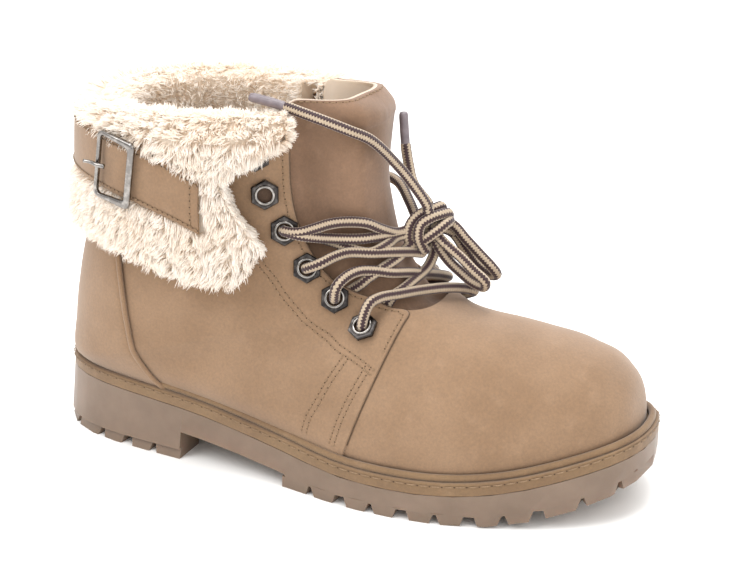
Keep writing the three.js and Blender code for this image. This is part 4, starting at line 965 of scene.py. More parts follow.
@dataclass
class Upper:
    """Vamp, quarters, counter and their seams."""

    palette: Palette
    columns: int = 56

    def build(self) -> None:
        """Builds the upper."""
        self.base()
        self.quarters()
        self.counter()
        self.stitching()

    def rows(self) -> np.ndarray:
        """Returns the places of the base's rows, close together where its outline turns."""
        toe = 1 - (1 - np.linspace(0, 1, 40)) ** 2
        spans = ((0, 0.385, 34), (0.39, 0.5, 36), (0.5, 0.545, 46), (0.55, 0.9, 60))
        return np.unique(np.concatenate([*(np.linspace(*span) for span in spans), 0.9 + 0.1 * toe]).round(6))

    def base(self) -> None:
        """Builds the vamp and the leather under the quarters, with its wall."""
        piece = Piece("vamp", self.palette.nubuck, Slot.NUBUCK, ("upper",))
        p = self.rows()
        share = np.linspace(0, 1, self.columns)
        for side in SIDES:
            angle = between(Ring(p, side).start, Last.first_below(p, side, outside_throat), share)
            piece.grid(leather(p, angle, side, 0.0))
        piece.weld().turn_out().thicken(UPPER_WALL)
        piece.done(sharp=50)

    def quarter_rows(self, side: int) -> np.ndarray:
        """Returns the places of a quarter's rows, down to where its front edge meets the sole."""
        p = np.linspace(0.6, 0.8, 400)
        start = Ring(p, side).start
        inside = behind_front(Last.point(p, start, side)) > 0
        last = p[np.nonzero(inside)[0][-1]]
        return np.concatenate([np.linspace(0, 0.385, 44), np.linspace(0.39, last, 120)]).round(6)

    def edge_angles(self, p: np.ndarray, side: int, inset: np.ndarray) -> np.ndarray:
        """Returns the angles that lie at distances from the quarter's edge, for each ring."""
        start = Ring(p, side).start
        end = Last.first_below(p, side, in_quarter)
        angles = between(start, end, np.linspace(0, 1, 240))
        lengths = walked(Last.point(p[:, None], angles, side))
        rows = zip(lengths, angles)
        return np.array([np.interp(np.maximum(far[-1] - inset, 0), far, turn) for far, turn in rows])

    def quarters(self) -> None:
        """Builds the two quarters as a second layer with a rolled edge."""
        piece = Piece("quarters", self.palette.nubuck, Slot.NUBUCK)
        edge = np.array([0, 0.08, 0.2, 0.36, 0.56, 0.8, 1.1, 1.6, 2.4, 3.6, 5.5, 8])
        roll = np.sqrt(1 - (1 - np.clip(edge, 0, 1)) ** 2)
        rest = np.linspace(0, 1, 46)[1:]
        for side in SIDES:
            p = self.quarter_rows(side)
            near = self.edge_angles(p, side, edge)
            angle = np.concatenate([near, between(near[:, -1], Ring(p, side).start, rest)], axis=1)
            lift = np.concatenate([lerp(-0.15, QUARTER_STEP, roll), np.full(len(rest), QUARTER_STEP)])
            piece.grid(leather(p, angle, side, lift[None, :]))
        piece.weld().turn_out().done()
        # A dark tube along each quarter's edge is painted shadow of the raised edge.
        cut = Piece("quarter_edge_painted_shadow", self.palette.cut, Slot.NUBUCK)
        for side in SIDES:
            p = self.quarter_rows(side)
            p = p[(p > 0.02) & (p < p[-1] - 0.01)]
            angle = self.edge_angles(p, side, np.array([0.0]))[:, 0]
            tube(cut, resample(leather(p, angle, side, 0.2), 1.2), 0.42, 6)
        cut.weld().done()

    def counter(self) -> None:
        """Builds the heel counter and the rolled seam along its front edge."""
        piece = Piece("counter", self.palette.nubuck, Slot.NUBUCK, ("heel_counter",))
        base = QUARTER_STEP + 1.5 * CLEARANCE
        share = np.concatenate([[0, 0.01, 0.025, 0.05], np.linspace(0.08, 1, 34)])
        roll = np.sqrt(1 - (1 - np.clip(share / share[3], 0, 1)) ** 2)
        seam = Piece("counter_seam", self.palette.nubuck, Slot.NUBUCK)
        for side in SIDES:
            p, edge = self.counter_edge(side)
            angle = between(edge, Ring(p, side).start, share)
            wide_p = np.broadcast_to(p[:, None], angle.shape)
            offset = np.broadcast_to(base - 0.4 + (COUNTER_THICKNESS + 0.4) * roll, angle.shape)
            piece.grid(Last.skin(wide_p, angle, side, offset))
            line = Last.skin(p, edge, side, np.full(len(p), base + 0.9))
            tube(seam, resample(line[::3], 1.5), 1.2, 10)
        piece.weld().turn_out().done()
        seam.weld().done()

    @staticmethod
    def counter_edge(side: int) -> tuple[np.ndarray, np.ndarray]:
        """Returns the rings and angles of the counter's front edge, from its top to the sole."""
        z = np.linspace(0.7 * COLLAR_HEIGHT, COUNTER_FOOT * COLLAR_HEIGHT, 90)
        p, edge = Last.on_side(COUNTER_EDGE("x", z / COLLAR_HEIGHT) * SOLE_LENGTH, z, side)
        above = edge > Ring(p, side).start + 0.02
        last = len(z) if above.all() else int(np.argmin(above))
        return p[:last], edge[:last]

    def stitching(self) -> None:
        """Sews the quarters' edges, the facings and the strips behind the vamp."""
        lines: list[tuple[np.ndarray, np.ndarray]] = []
        for side in SIDES:
            p = self.quarter_rows(side)
            lines.append(self.along_edge(p[(p > 0.012) & (p < 0.6)], side, 3.0))
            for table in (FACING, STRIP, EDGE_STRIP):
                for shift in (-1.2, 1.2):
                    lines.append(self.across_side(table, side, shift))
        sew("upper_stitches", lines, self.palette)

    def along_edge(self, p: np.ndarray, side: int, inset: float) -> tuple[np.ndarray, np.ndarray]:
        """Returns a line at a distance from the quarter's edge, and its normals."""
        angle = self.edge_angles(p, side, np.array([inset]))[:, 0]
        return leather(p, angle, side, QUARTER_STEP), Last.normal(p, angle, side)

    @staticmethod
    def across_side(points: np.ndarray, side: int, shift: float) -> tuple[np.ndarray, np.ndarray]:
        """Returns a line drawn from the side, moved across itself by a shift, and its normals."""
        flat = resample(np.column_stack([points[:, 0], np.zeros(len(points)), points[:, 1]]), 1.0)[:, [0, 2]]
        along = np.gradient(flat, axis=0)
        along /= np.linalg.norm(along, axis=1, keepdims=True)
        moved = flat + shift * np.column_stack([-along[:, 1], along[:, 0]])
        p, angle = Last.on_side(moved[:, 0], moved[:, 1], side)
        return leather(p, angle, side, QUARTER_STEP), Last.normal(p, angle, side)


def sew(name: str, lines: list[tuple[np.ndarray, np.ndarray]], palette: Palette, pitch: float = 2.7) -> None:
    """Sews lines of stitches: short threads that lie on the leather, with a dark spot of painted shade for
    the needle hole between two.

    Args:
        name: The name of the stitches' object.
        lines: Points on the surface and its normals, for each line.
        palette: The materials.
        pitch: The distance from one stitch to the next, in mm.
    """
    threads: list[np.ndarray] = []
    hole_shades: list[np.ndarray] = []
    for points, normals in lines:
        lengths = walked(points)
        at = np.linspace(0, lengths[-1], max(2, int(lengths[-1] / pitch)))
        spot = read_at(at, lengths, points)
        up = unit(read_at(at, lengths, normals))
        for a, b, n in zip(spot[:-1], spot[1:], up[:-1]):
            threads.append(stitch(a, b, n))
            # Each needle hole is a dark spot of painted shade.
            hole_shades.append(dent(a, b - a, n))
    for label, shapes, finish in ((name, threads, palette.thread), (name + "_hole_shades", hole_shades, palette.hole)):
        verts = np.concatenate(shapes)
        each = len(shapes[0])
        pattern = STITCH_FACES if label == name else DENT_FACES
        faces = np.concatenate([pattern + k * each for k in range(len(shapes))])
        from_arrays(label, verts, faces, finish)


STITCH_SIDES = 6
# Each ring of a stitch: its share of the way, its height over the leather and its radius in mm.
STITCH_PROFILE = (
    (0.14, -0.25, 0.16), (0.28, 0.08, 0.3), (0.5, 0.16, 0.34), (0.72, 0.08, 0.3), (0.86, -0.25, 0.16),
)


def _stitch_faces() -> np.ndarray:
    """Returns the faces of one stitch's tube."""
    faces = []
    for r in range(len(STITCH_PROFILE) - 1):
        for k in range(STITCH_SIDES):
            a, b = r * STITCH_SIDES + k, r * STITCH_SIDES + (k + 1) % STITCH_SIDES
            faces.append((a, b, b + STITCH_SIDES, a + STITCH_SIDES))
    return np.array(faces)


STITCH_FACES = _stitch_faces()
DENT_FACES = np.array([(0, 1, 4), (1, 2, 4), (2, 3, 4), (3, 0, 4)])


def stitch(a: np.ndarray, b: np.ndarray, up: np.ndarray) -> np.ndarray:
    """Returns the points of one stitch from a to b: a short tube that dips at its ends."""
    along = b - a
    across = np.cross(up, along)
    across /= max(np.linalg.norm(across), 1e-9)
    rings = []
    for t, height, radius in STITCH_PROFILE:
        turn = np.arange(STITCH_SIDES) * 2 * np.pi / STITCH_SIDES
        centre = a + along * t + up * height
        rings.append(centre + radius * (np.cos(turn)[:, None] * across + 0.7 * np.sin(turn)[:, None] * up))
    return np.concatenate(rings)


def dent(a: np.ndarray, along: np.ndarray, up: np.ndarray) -> np.ndarray:
    """Returns the points of one needle hole: a flat spot with a raised middle, dark with painted shade."""
    along = along / max(np.linalg.norm(along), 1e-9)
    across = np.cross(up, along)
    size = 0.42
    flat = [a - along * size, a + across * size, a + along * size, a - across * size]
    return np.array([v + up * 0.02 for v in flat] + [a + up * 0.09])


# Sections of the tongue, foot first: place on the last, rise over it, half width and bulge, as shares.
TONGUE = (
    (0.63, 0, 0.7, 0.0), (0.56, 0, 0.8, 0.0), (0.5, 0, 0.86, 0.0), (0.44, 0, 0.9, 0.15),
    (0.38, 0, 0.92, 0.26), (0.3, 0, 0.94, 0.38), (0.22, 0, 0.96, 0.52), (0.14, 0, 0.98, 0.72),
    (0.06, 0, 0.98, 0.92), (0.0, 0, 0.92, 1.0), (0.0, 0.45, 0.88, 0.98), (0.0, 0.8, 0.84, 0.86),
    (0.0, 1.0, 0.7, 0.7),
)


@dataclass
class Tongue:
    """The wide leather tongue, lined with fleece, that bulges out of the throat."""

    palette: Palette

    def surface(self, row: np.ndarray, share: np.ndarray, depth: float) -> np.ndarray:
        """Returns points of the tongue.

        Args:
            row: Places down the table of sections, from 0 at its foot.
            share: Places across, from -1 to 1.
            depth: The distance under its face, in mm.

        Returns:
            The points.
        """
        table = Table("k p rise half bulge", [(k, *r) for k, r in enumerate(TONGUE)])
        p = np.maximum(table("p", row), 0)
        rise = np.maximum(table("rise", row), 0)
        over = TONGUE_HEIGHT - SHAFT.values["frontZ"][0] * COLLAR_HEIGHT
        y = share * table("half", row) * TONGUE_HALF_WIDTH
        gape = throat_half(Ring(p, MEDIAL).front[..., 0])
        free = 1 - smooth(np.abs(y) / gape, 0.35, 0.88)
        fold = 0.7 * free * np.sin(row * 2.1 + share * 2.6) + 0.5 * free * np.sin(share * 9 + row)
        offset = -UPPER_WALL - TONGUE_GAP + table("bulge", row) * TONGUE_CROWN * free - depth + fold
        out = np.empty(y.shape + (3,))
        for side in SIDES:
            ring = Ring(p, side)
            reach = np.clip(np.abs(y - ring.ridge) / ring.half, 0, 0.995)
            angle = np.pi - np.arcsin(reach ** (ring.crown / 2))
            mine = (y < 0) if side == LATERAL else (y >= 0)
            out[mine] = Last.skin(p, angle, side, offset, rise * over)[mine]
        return out

    def build(self) -> None:
        """Builds the leather face, and the fleece behind it."""
        row = np.linspace(0, len(TONGUE) - 1, 110)[:, None]
        share = np.linspace(-1, 1, 71)[None, :]
        row, share = (np.array(a) for a in np.broadcast_arrays(row, share))
        face = self.surface(row, share, 0.0)
        back = self.surface(row, share, 1.6)
        # The leather face wears the darker nubuck, painted shade of the throat.
        piece = Piece("tongue_leather", self.palette.tongue, Slot.NUBUCK, ("tongue",))
        closed_sheet(piece, face, back)
        piece.done(sharp=60)
        lining = Piece("tongue_fleece", self.palette.wool, Slot.FLEECE)
        closed_sheet(lining, *(self.surface(row, share * 0.97, depth) for depth in (1.7, TONGUE_THICKNESS)))
        lining.done()
        lines = []
        for level in (0.965, -0.965):
            k = np.linspace(5, len(TONGUE) - 1.3, 160)
            edge = self.surface(k, np.full(len(k), level), 0.0)
            above = self.surface(k, np.full(len(k), level), -1.0)
            lines.append((edge, unit(above - edge)))
        across = np.linspace(-0.93, 0.93, 90)
        top = np.full(len(across), len(TONGUE) - 1.28)
        edge = self.surface(top, across, 0.0)
        lines.append((edge, unit(self.surface(top, across, -1.0) - edge)))
        sew("tongue_stitches", lines, self.palette)


def closed_sheet(piece: Piece, face: np.ndarray, back: np.ndarray) -> None:
    """Adds a sheet with two faces and closes it round its border."""
    piece.grid(face)
    piece.grid(back[::-1])
    rims = ((face[0], back[0]), (back[-1], face[-1]), (back[:, 0], face[:, 0]), (face[:, -1], back[:, -1]))
    for rim in rims:
        piece.grid(np.stack(rim))
    piece.weld()


# The cuff's section: place on the last, lift over the collar as a share of the roll, and offset in mm.
CUFF_SECTION = (
    (0.19, 0.0, 5.46), (0.2, 0.0, 7.8), (0.18, 0.0, 10.3), (0.13, 0.0, 11.0), (0.07, 0.0, 10.0),
    (0.02, 0.0, 11.0), (0.0, 0.45, 10.4), (0.0, 0.9, 7.1), (0.0, 1.0, 3.9), (0.0, 0.8, -8.7),
    (0.0, 0.3, -10.4), (0.06, 0.0, -10.4), (0.15, 0.0, -10.1), (0.24, 0.0, -7.4), (0.24, 0.0, -3.7),
    (0.12, 0.0, -3.7), (0.0, 0.1, -3.7), (0.0, 0.1, 3.9), (0.09, 0.0, 4.25),
)
CUFF_FRONT = Table("at setback", [(0.0, 2), (0.02, 14), (0.045, 26), (0.08, 26), (0.13, 22), (0.26, 17)])
CUFF_HEM = Table("at hem", [(0.0, 0.95), (0.13, 1.26), (0.32, 1.02), (0.6, 0.86), (1.0, 0.8)])
LINING_SETBACK = 19.0
# Stretches of the section: its outer face, its inner side, and the way to the lining's setback and back.
OUTER_FACE = (1.5, 7.5)
INNER_SIDE = (8.6, 16.4)
TO_LINING = (8.2, 9.2)
FROM_LINING = (16.0, 17.0)
FOLD_UNDERSIDE = 0.06
# Places of the section's outer side, and the places of its inner side that lie across from them.
SECTION_PAIRS = ([0.0, 6.0, 9.0, 13.5], [19.0, 17.0, 16.0, 13.5])
STRAND_HALF = 0.21
STRAP_HEIGHT = 0.93 * COLLAR_HEIGHT
STRAP_DIP = 15.0
STRAP_FACE = CUFF_THICKNESS - 1
STRAP_END = 1.84
# The buckle's middle, how far to each side it reaches and how far the strap swells under it, as angles.
BUCKLE_ANGLE = 1.25
BUCKLE_SPREAD = 0.16
BUCKLE_SWELL = 0.17
# The second layer: the angles it runs between, and how far it is raised in mm.
UNDERLAY = (1.0, 1.66, 3.0)


def strap_height(angle: np.ndarray | float) -> np.ndarray:
    """Returns the height of the straps' middle at an angle round the cuff."""
    return STRAP_HEIGHT - STRAP_DIP * (np.asarray(angle) / STRAP_END) ** 5


class CuffForm:
    """The folded cuff's surface: t goes round its section, share from its front edge to the back."""

    ROWS = 60
    COLUMNS = 200

    def __init__(self) -> None:
        """Prepares the throat's distances for each side."""
        self.rows = np.array(CUFF_SECTION)
        self.p_grid = np.linspace(0, 0.34, self.ROWS)
        self.tables = {}
        for side in SIDES:
            angles = between(throat_angle(self.p_grid, side), 0, np.linspace(0, 1, self.COLUMNS))
            self.tables[side] = (angles, walked(Last.point(self.p_grid[:, None], angles, side)))

    def section(self, t: np.ndarray) -> np.ndarray:
        """Returns p, lift and offset at places round the section, on a smooth closed curve."""
        n = len(self.rows)
        i = np.floor(t).astype(int)
        f = (t - i)[..., None]
        a, b, c, d = (self.rows[(i + k) % n] for k in (-1, 0, 1, 2))
        bend, twist = 2 * a - 5 * b + 4 * c - d, 3 * b - a - 3 * c + d
        value = 0.5 * (2 * b + (c - a) * f + bend * f**2 + twist * f**3)
        value[..., 0] = np.maximum(value[..., 0], 0)
        return value

    def front(self, p: np.ndarray, setback: np.ndarray, side: int) -> np.ndarray:
        """Returns the angle that lies a distance behind the throat's edge."""
        angles, lengths = self.tables[side]
        flat_p, flat_s = p.reshape(-1), np.broadcast_to(setback, p.shape).reshape(-1)
        last = self.ROWS - 1
        row = np.clip(np.round(flat_p / self.p_grid[-1] * last).astype(int), 0, last)
        order = np.clip((lengths[row] < flat_s[:, None]).sum(axis=1), 1, self.COLUMNS - 1)
        w0, w1 = lengths[row, order - 1], lengths[row, order]
        f = np.clip((flat_s - w0) / np.maximum(w1 - w0, 1e-9), 0, 1)
        return lerp(angles[row, order - 1], angles[row, order], f).reshape(p.shape)

    def point(self, t: np.ndarray, share: np.ndarray, side: int,
              more: np.ndarray | float = 0.0) -> np.ndarray:
        """Returns points of the cuff.

        Args:
            t: Places round the section, in rows of its table.
            share: Places from the front edge, 0, to the back, 1.
            side: LATERAL or MEDIAL.
            more: How far to push it out, in mm.

        Returns:
            The points.
        """
        t, share = np.broadcast_arrays(np.asarray(t, dtype=float), np.asarray(share, dtype=float))
        row = self.section(t)
        inside = (t > INNER_SIDE[0]) & (t < INNER_SIDE[1])
        hang = lerp(1, CUFF_HEM("hem", share), smooth(row[..., 0], 0.05, 0.18))
        p = np.where(inside, row[..., 0], row[..., 0] * hang)
        blend = smooth(t, *TO_LINING) * (1 - smooth(t, *FROM_LINING))
        under = np.maximum(p, FOLD_UNDERSIDE * smooth(t, FROM_LINING[0], 16.6))
        setback = lerp(CUFF_FRONT("setback", under), LINING_SETBACK, blend)
        angle = lerp(self.front(p, setback, side), 0, share)
        offset = row[..., 2] + np.where(row[..., 2] > 0, more, -np.asarray(more))
        point = Last.skin(p, angle, side, offset, row[..., 1] * CUFF_ROLL)
        gap = np.abs(point[..., 2] - strap_height(angle)) - STRAP_WIDTH / 2
        pressed = (1 - smooth(gap, 0.0, 5.0)) * (1 - smooth(angle, STRAP_END, STRAP_END + 0.16))
        outer = (t > OUTER_FACE[0]) & (t < OUTER_FACE[1])
        sink = np.where(outer, np.maximum(offset - (STRAP_FACE - 1.2), 0) * pressed, 0)
        return point - Last.normal(p, angle, side) * sink[..., None]

    def angle_at(self, t: np.ndarray, share: np.ndarray, side: int) -> np.ndarray:
        """Returns the ring's angle at places of the cuff."""
        row = self.section(t)
        p = row[..., 0]
        return lerp(self.front(p, CUFF_FRONT("setback", p), side), 0, share)


@dataclass
class Cuff:
    """The folded-down fleece: a soft body under a deep pile of wool."""

    palette: Palette
    form: CuffForm = field(default_factory=CuffForm)

    def build(self) -> None:
        """Builds the body and the wool on it."""
        piece = Piece("cuff_body", self.palette.wool, Slot.FLEECE, ("cuff",))
        t = np.linspace(0, len(CUFF_SECTION), 96)[:, None]
        share = 1 - (1 - np.linspace(0, 1, 70)) ** 1.4
        for side in SIDES:
            tt, ss = (np.array(a) for a in np.broadcast_arrays(t, share[None, :]))
            lumps = 0.8 * np.sin(tt * 2.3 + ss * 17 * side) * np.sin(ss * 31 + tt)
            piece.grid(self.form.point(tt, ss, side, lumps - 0.9))
            outer = np.linspace(0, 13.5, 60)
            inner = np.interp(outer, *SECTION_PAIRS)
            pair = (self.form.point(turn, np.zeros(len(outer)), side, -0.9) for turn in (outer, inner))
            piece.grid(np.stack(list(pair)))
        piece.weld(0.02).done()
        rng = np.random.default_rng(SEED)
        parts = ((LATERAL, "outer", 37000), (MEDIAL, "inner", 33000))
        for side, part, count in parts:
            self.pile(f"cuff_wool_{part}", side, (0.0, 8.4), count, 5.6, rng)
        for side, part, _ in parts:
            self.pile(f"collar_wool_{part}", side, (7.6, 13.5), 16000, 4.6, rng)
        for side, part, _ in parts:
            self.fringe(f"front_wool_{part}", side, 8000, 4.6, rng)

    def pile(self, name: str, side: int, span: tuple[float, float], count: int, length: float,
             rng: np.random.Generator) -> None:
        """Plants wool on a stretch of one side of the cuff.

        Args:
            name: The object's name.
            side: LATERAL or MEDIAL.
            span: The stretch round the section.
            count: How many strands to plant.
            length: Their length in mm.
            rng: The seeded generator.
        """
        t, share = self.spread(side, span, count, rng)
        root = self.form.point(t, share, side, -1.4)
        above = self.form.point(t, share, side, 1.6)
        angle = self.form.angle_at(t, share, side)
        under = np.abs(root[:, 2] - strap_height(angle)) < STRAP_WIDTH / 2 + 0.3
        under &= (angle < STRAP_END + 0.02) & (t > OUTER_FACE[0]) & (t < OUTER_FACE[1])
        hangs = (t > 1.0) & (t < 5.6)
        lock = np.round(t * 2.4) * 1000 + np.round(share * 36)
        keep = ~under
        self.plant(name, root[keep], unit(above - root)[keep], hangs[keep], lock[keep], length, rng)

    def fringe(self, name: str, side: int, count: int, length: float, rng: np.random.Generator) -> None:
        """Plants wool on the cut front edge of one side of the cuff, from the hem over the roll.

        Args:
            name: The object's name.
            side: LATERAL or MEDIAL.
            count: How many strands to plant.
            length: Their length in mm.
            rng: The seeded generator.
        """
        over = rng.random(count) < 0.4
        p = np.where(over, 0.0, rng.uniform(0, 0.19, count))
        offset = np.where(over, rng.uniform(-8, 9, count), rng.uniform(4.6, 10.4, count))
        room = np.sqrt(np.clip(1 - (np.abs(offset - 0.5) / 10.5) ** 2, 0, 1))
        rise = np.where(over, rng.random(count) * room * CUFF_ROLL * 0.9, 0)
        angle = self.form.front(p, CUFF_FRONT("setback", p) + np.where(offset < 2, 6.0, 0.0), side)
        root = Last.skin(p, angle, side, offset, rise)
        forward = unit(Last.point(p, angle + 0.06, side) - Last.point(p, angle, side))
        out = unit(forward + 0.5 * Last.normal(p, angle, side) * np.sign(offset - 4)[:, None])
        lock = np.round(p * 40) * 1000 + np.round(offset / 3) + np.round(rise / 3) * 40
        self.plant(name, root - forward, out, ~over, lock, length, rng)

    def plant(self, name: str, root: np.ndarray, out: np.ndarray, hangs: np.ndarray, lock: np.ndarray,
              length: float, rng: np.random.Generator) -> None:
        """Makes one mesh of strands that gather into locks.

        Args:
            name: The object's name.
            root: The strands' roots.
            out: The pile's direction at each root.
            hangs: Whether each strand hangs, or stands.
            lock: A number for each strand's lock.
            length: The strands' length in mm.
            rng: The seeded generator.
        """
        names, where = np.unique(lock, return_inverse=True)
        lean = unit(rng.normal(0, 0.34, (len(names), 3)))[where]
        centre = np.zeros((len(names), 3))
        np.add.at(centre, where, root)
        centre /= np.bincount(where)[:, None]
        droop = np.where(hangs[:, None], [0.0, 0.0, -0.6], [0.0, 0.0, 0.1])
        grow = unit(out + 0.4 * lean + droop + rng.normal(0, 0.2, root.shape))
        reach = length * rng.uniform(0.7, 1.15, len(root))[:, None]
        tip = root + grow * reach + droop * reach * 0.3
        gather = centre[where] + unit(out + 0.5 * lean + droop) * reach
        tip = lerp(tip, gather, 0.35) + rng.normal(0, 0.4, root.shape)
        middle = lerp(root, tip, 0.5) + rng.normal(0, 0.4, root.shape) + out * 0.9
        aside = unit(np.cross(grow, rng.normal(0, 1, root.shape)))
        verts, along = [], []
        n = len(root)
        levels = ((root, 1.0, 0.0), (lerp(root, middle, 0.66), 1.0, 0.4), (lerp(middle, tip, 0.5), 0.7, 0.8))
        for place, share_w, value in levels:
            for sign in (-1, 1):
                verts.append(place + sign * aside * STRAND_HALF * share_w)
                along.append(np.full(n, value))
        verts.append(tip)
        along.append(np.ones(n))
        strand = np.array([(0, 1, 3), (0, 3, 2), (2, 3, 5), (2, 5, 4), (4, 5, 6)])
        faces = (strand[:, None, :] * n + np.arange(n)[None, :, None]).reshape(-1, 3)
        from_arrays(name, np.concatenate(verts), faces, self.palette.wool, np.concatenate(along))

    def spread(self, side: int, span: tuple[float, float], count: int,
               rng: np.random.Generator) -> tuple[np.ndarray, np.ndarray]:
        """Returns evenly spread places on a stretch of the cuff."""
        cells = 90
        t, s = np.linspace(*span, cells), np.linspace(0, 1, cells)
        grid = self.form.point(t[:, None], s[None, :], side)
        du = np.gradient(grid, axis=0)
        dv = np.gradient(grid, axis=1)
        area = np.linalg.norm(np.cross(du, dv), axis=2).reshape(-1)
        pick = rng.choice(area.size, size=count, p=area / area.sum())
        i, j = np.divmod(pick, cells)
        step_t, step_s = t[1] - t[0], s[1] - s[0]
        tt = np.clip(t[i] + (rng.random(count) - 0.5) * step_t, *span)
        ss = np.clip(s[j] + (rng.random(count) - 0.5) * step_s, 0.0, 1)
        return tt, ss


@dataclass
class Strap:
    """The cuff's strap with its painted edge and stitched border, the second layer, and the buckle."""

    palette: Palette

    @staticmethod
    def band(turns: np.ndarray, raised: float, inner: float, across: np.ndarray) -> np.ndarray:
        """Returns points of a band as wide as the strap.

        Args:
            turns: The angle of each stop from the back, less than 0 on the outer side.
            raised: How far its middle is above the straps' line.
            inner: The offset of its face from the last.
            across: Places across it, from -1 to 1.

        Returns:
            Stops by places by 3.
        """
        p = np.linspace(0, HEEL_RING, 300)
        stops = []
        for turn in turns:
            angle, side = abs(turn), LATERAL if turn < 0 else MEDIAL
            z = float(strap_height(angle)) + raised + across * STRAP_WIDTH / 2
            heights = Last.point(p, np.full(len(p), angle), side)[:, 2]
            ring = np.interp(-z, -heights, p)
            rise = np.where(ring < 1e-3, z - heights[0], 0)
            stops.append(Last.skin(ring, np.full(len(z), angle), side, np.full(len(z), inner), rise))
        return np.array(stops)

    def layer(self, name: str, turns: np.ndarray, raised: float, inner: float,
              replaces: Sequence[str]) -> None:
        """Builds one layer with a leather face, a painted edge and a stitched border.

        Args:
            name: The object's name.
            turns: The angle of each stop from the back, less than 0 on the outer side.
            raised: How far its middle is above the straps' line.
            inner: The offset of its back from the last.
            replaces: The CAD nodes that it stands for.
        """
        half = np.array([0.25, 0.5, 0.75, 0.9, 0.95, 0.985, 1])
        across = np.concatenate([-half[::-1], [0.0], half])
        crown = 0.35 * (1 - np.abs(across) ** 8) + 0.25 * (1 - across**2)
        face = self.band(turns, raised, inner + STRAP_THICKNESS - 0.6, across)
        back = self.band(turns, raised, inner, across)
        up = unit(face - back)
        middle = up[:, len(half)]
        bulge = np.zeros(len(turns))
        if name == "strap_leather":
            centre = (-turns - BUCKLE_ANGLE) / BUCKLE_SWELL
            bulge = np.where(turns < 0, np.exp(-(centre**2) * 1.2), 0)
        piece = Piece(name, self.palette.nubuck, Slot.NUBUCK, replaces)
        raised_face = face + up * (crown[None, :, None] + bulge[:, None, None])
        closed_sheet(piece, raised_face, lerp(back, face, 0.55))
        piece.done(sharp=50)
        edge = Piece(name + "_edge", self.palette.edge, Slot.NUBUCK)
        closed_sheet(edge, lerp(back, face, 0.9), back)
        edge.done(sharp=50)
        border, seam, sewn = [], 0.84, inner + STRAP_THICKNESS - 0.02
        for place in (-seam, seam):
            line = self.band(turns, raised, sewn, np.array([place, 0.0]))[:, 0]
            border.append((line + middle * bulge[:, None], middle))
        if name == "strap_leather":
            tip = np.linspace(-seam, seam, 20)
            for side, end in zip(SIDES, (0, -1)):
                line = self.band(np.array([side * (STRAP_END - 0.045)]), raised, sewn, tip)[0]
                border.append((line, np.tile(middle[end], (len(tip), 1))))
        sew(name + "_stitches", border, self.palette, 2.4)

    def build(self) -> None:
        """Builds both layers and the buckle."""
        turns = np.linspace(-STRAP_END, STRAP_END, 121)
        self.layer("strap_leather", turns, 0.0, STRAP_FACE, ("strap",))
        low, high, raised = UNDERLAY
        inner = STRAP_FACE - STRAP_THICKNESS - 0.4
        self.layer("underlay_leather", -np.linspace(low, high, 40), raised, inner, ("buckle_strap",))
        self.buckle()

    def buckle(self) -> None:
        """Builds the buckle's frame and prong."""
        turns = -np.array([BUCKLE_ANGLE - BUCKLE_SPREAD, BUCKLE_ANGLE + BUCKLE_SPREAD])
        ends = self.band(turns, 0.0, STRAP_FACE + STRAP_THICKNESS + 1.6, np.array([0.0]))[:, 0]
        along = unit(ends[1] - ends[0])
        up = unit(np.array([0.0, 0.0, 1.0]) - along * along[2])
        out = np.cross(along, up)
        middle = (ends[0] + ends[1]) / 2

        def at(x: float, y: float, z: float) -> np.ndarray:
            return middle + along * x + up * y + out * z

        half_w, half_h = BUCKLE_LENGTH / 2 - 0.6, STRAP_WIDTH / 2 + 2.2
        corners = []
        radius, thin, wide, squared = 2.2, 1.15, 2.1, 0.7
        for cx, cy, first in ((1, 1, 0), (-1, 1, 90), (-1, -1, 180), (1, -1, 270)):
            for turn in np.radians(np.linspace(first, first + 90, 8)):
                corners.append(((half_w - radius) * cx + radius * math.cos(turn),
                                (half_h - radius) * cy + radius * math.sin(turn)))
        piece = Piece("buckle_body", self.palette.buckle, Slot.METAL, ("buckle_frame",))
        outline = np.array(corners + corners[:1])
        turn = np.linspace(0, 2 * np.pi, 13)
        rings = []
        for x, y in outline:
            bar = lerp(thin, wide, smooth(x, half_w - 4.5, half_w - 1.5)) if x > 0 else thin
            toward = unit(np.array([x / half_w, y / half_h])) if abs(x) > 0.1 else np.array([0.0, np.sign(y)])
            centre = np.array([x, y]) - toward * (bar - thin)
            ring = []
            for a in turn:
                flat = bar * np.sign(math.cos(a)) * abs(math.cos(a)) ** squared
                lift = thin * np.sign(math.sin(a)) * abs(math.sin(a)) ** squared
                ring.append(at(*(centre + toward * flat), thin + lift))
            rings.append(ring)
        piece.grid(np.array(rings))
        piece.weld(0.01).done()
        prong = Piece("prong_body", self.palette.buckle, Slot.METAL, ("buckle_prong",))
        z = BUCKLE_BAR + CLEARANCE + 1.0
        back = -BUCKLE_LENGTH / 2
        bends = ((5.4, 0, -1.2), (2, 0, 0.2), (-1, 0, 0.1), (-4.6, -0.4, 1.0))
        line = resample(np.array([at(back + x, y, z + lift) for x, y, lift in bends]), 0.6)
        tube(prong, line, np.linspace(1.05, 0.75, len(line)), 10)
        prong.weld(capped=True).done()


# The outer eyelets, collar first: x and z as shares of the sole's length and the collar's height, lift in mm.
EYELET_ROWS = [
    (0.398, 0.967, 0.6), (0.41, 0.855, 0.6), (0.438, 0.75, 0.6), (0.475, 0.645, 0.6), (0.522, 0.566, 0.7),
    (0.575, 0.493, 1.3),
]


@dataclass(frozen=True)
class Spot:
    """Where one eyelet sits."""

    at: np.ndarray
    out: np.ndarray
    lift: float


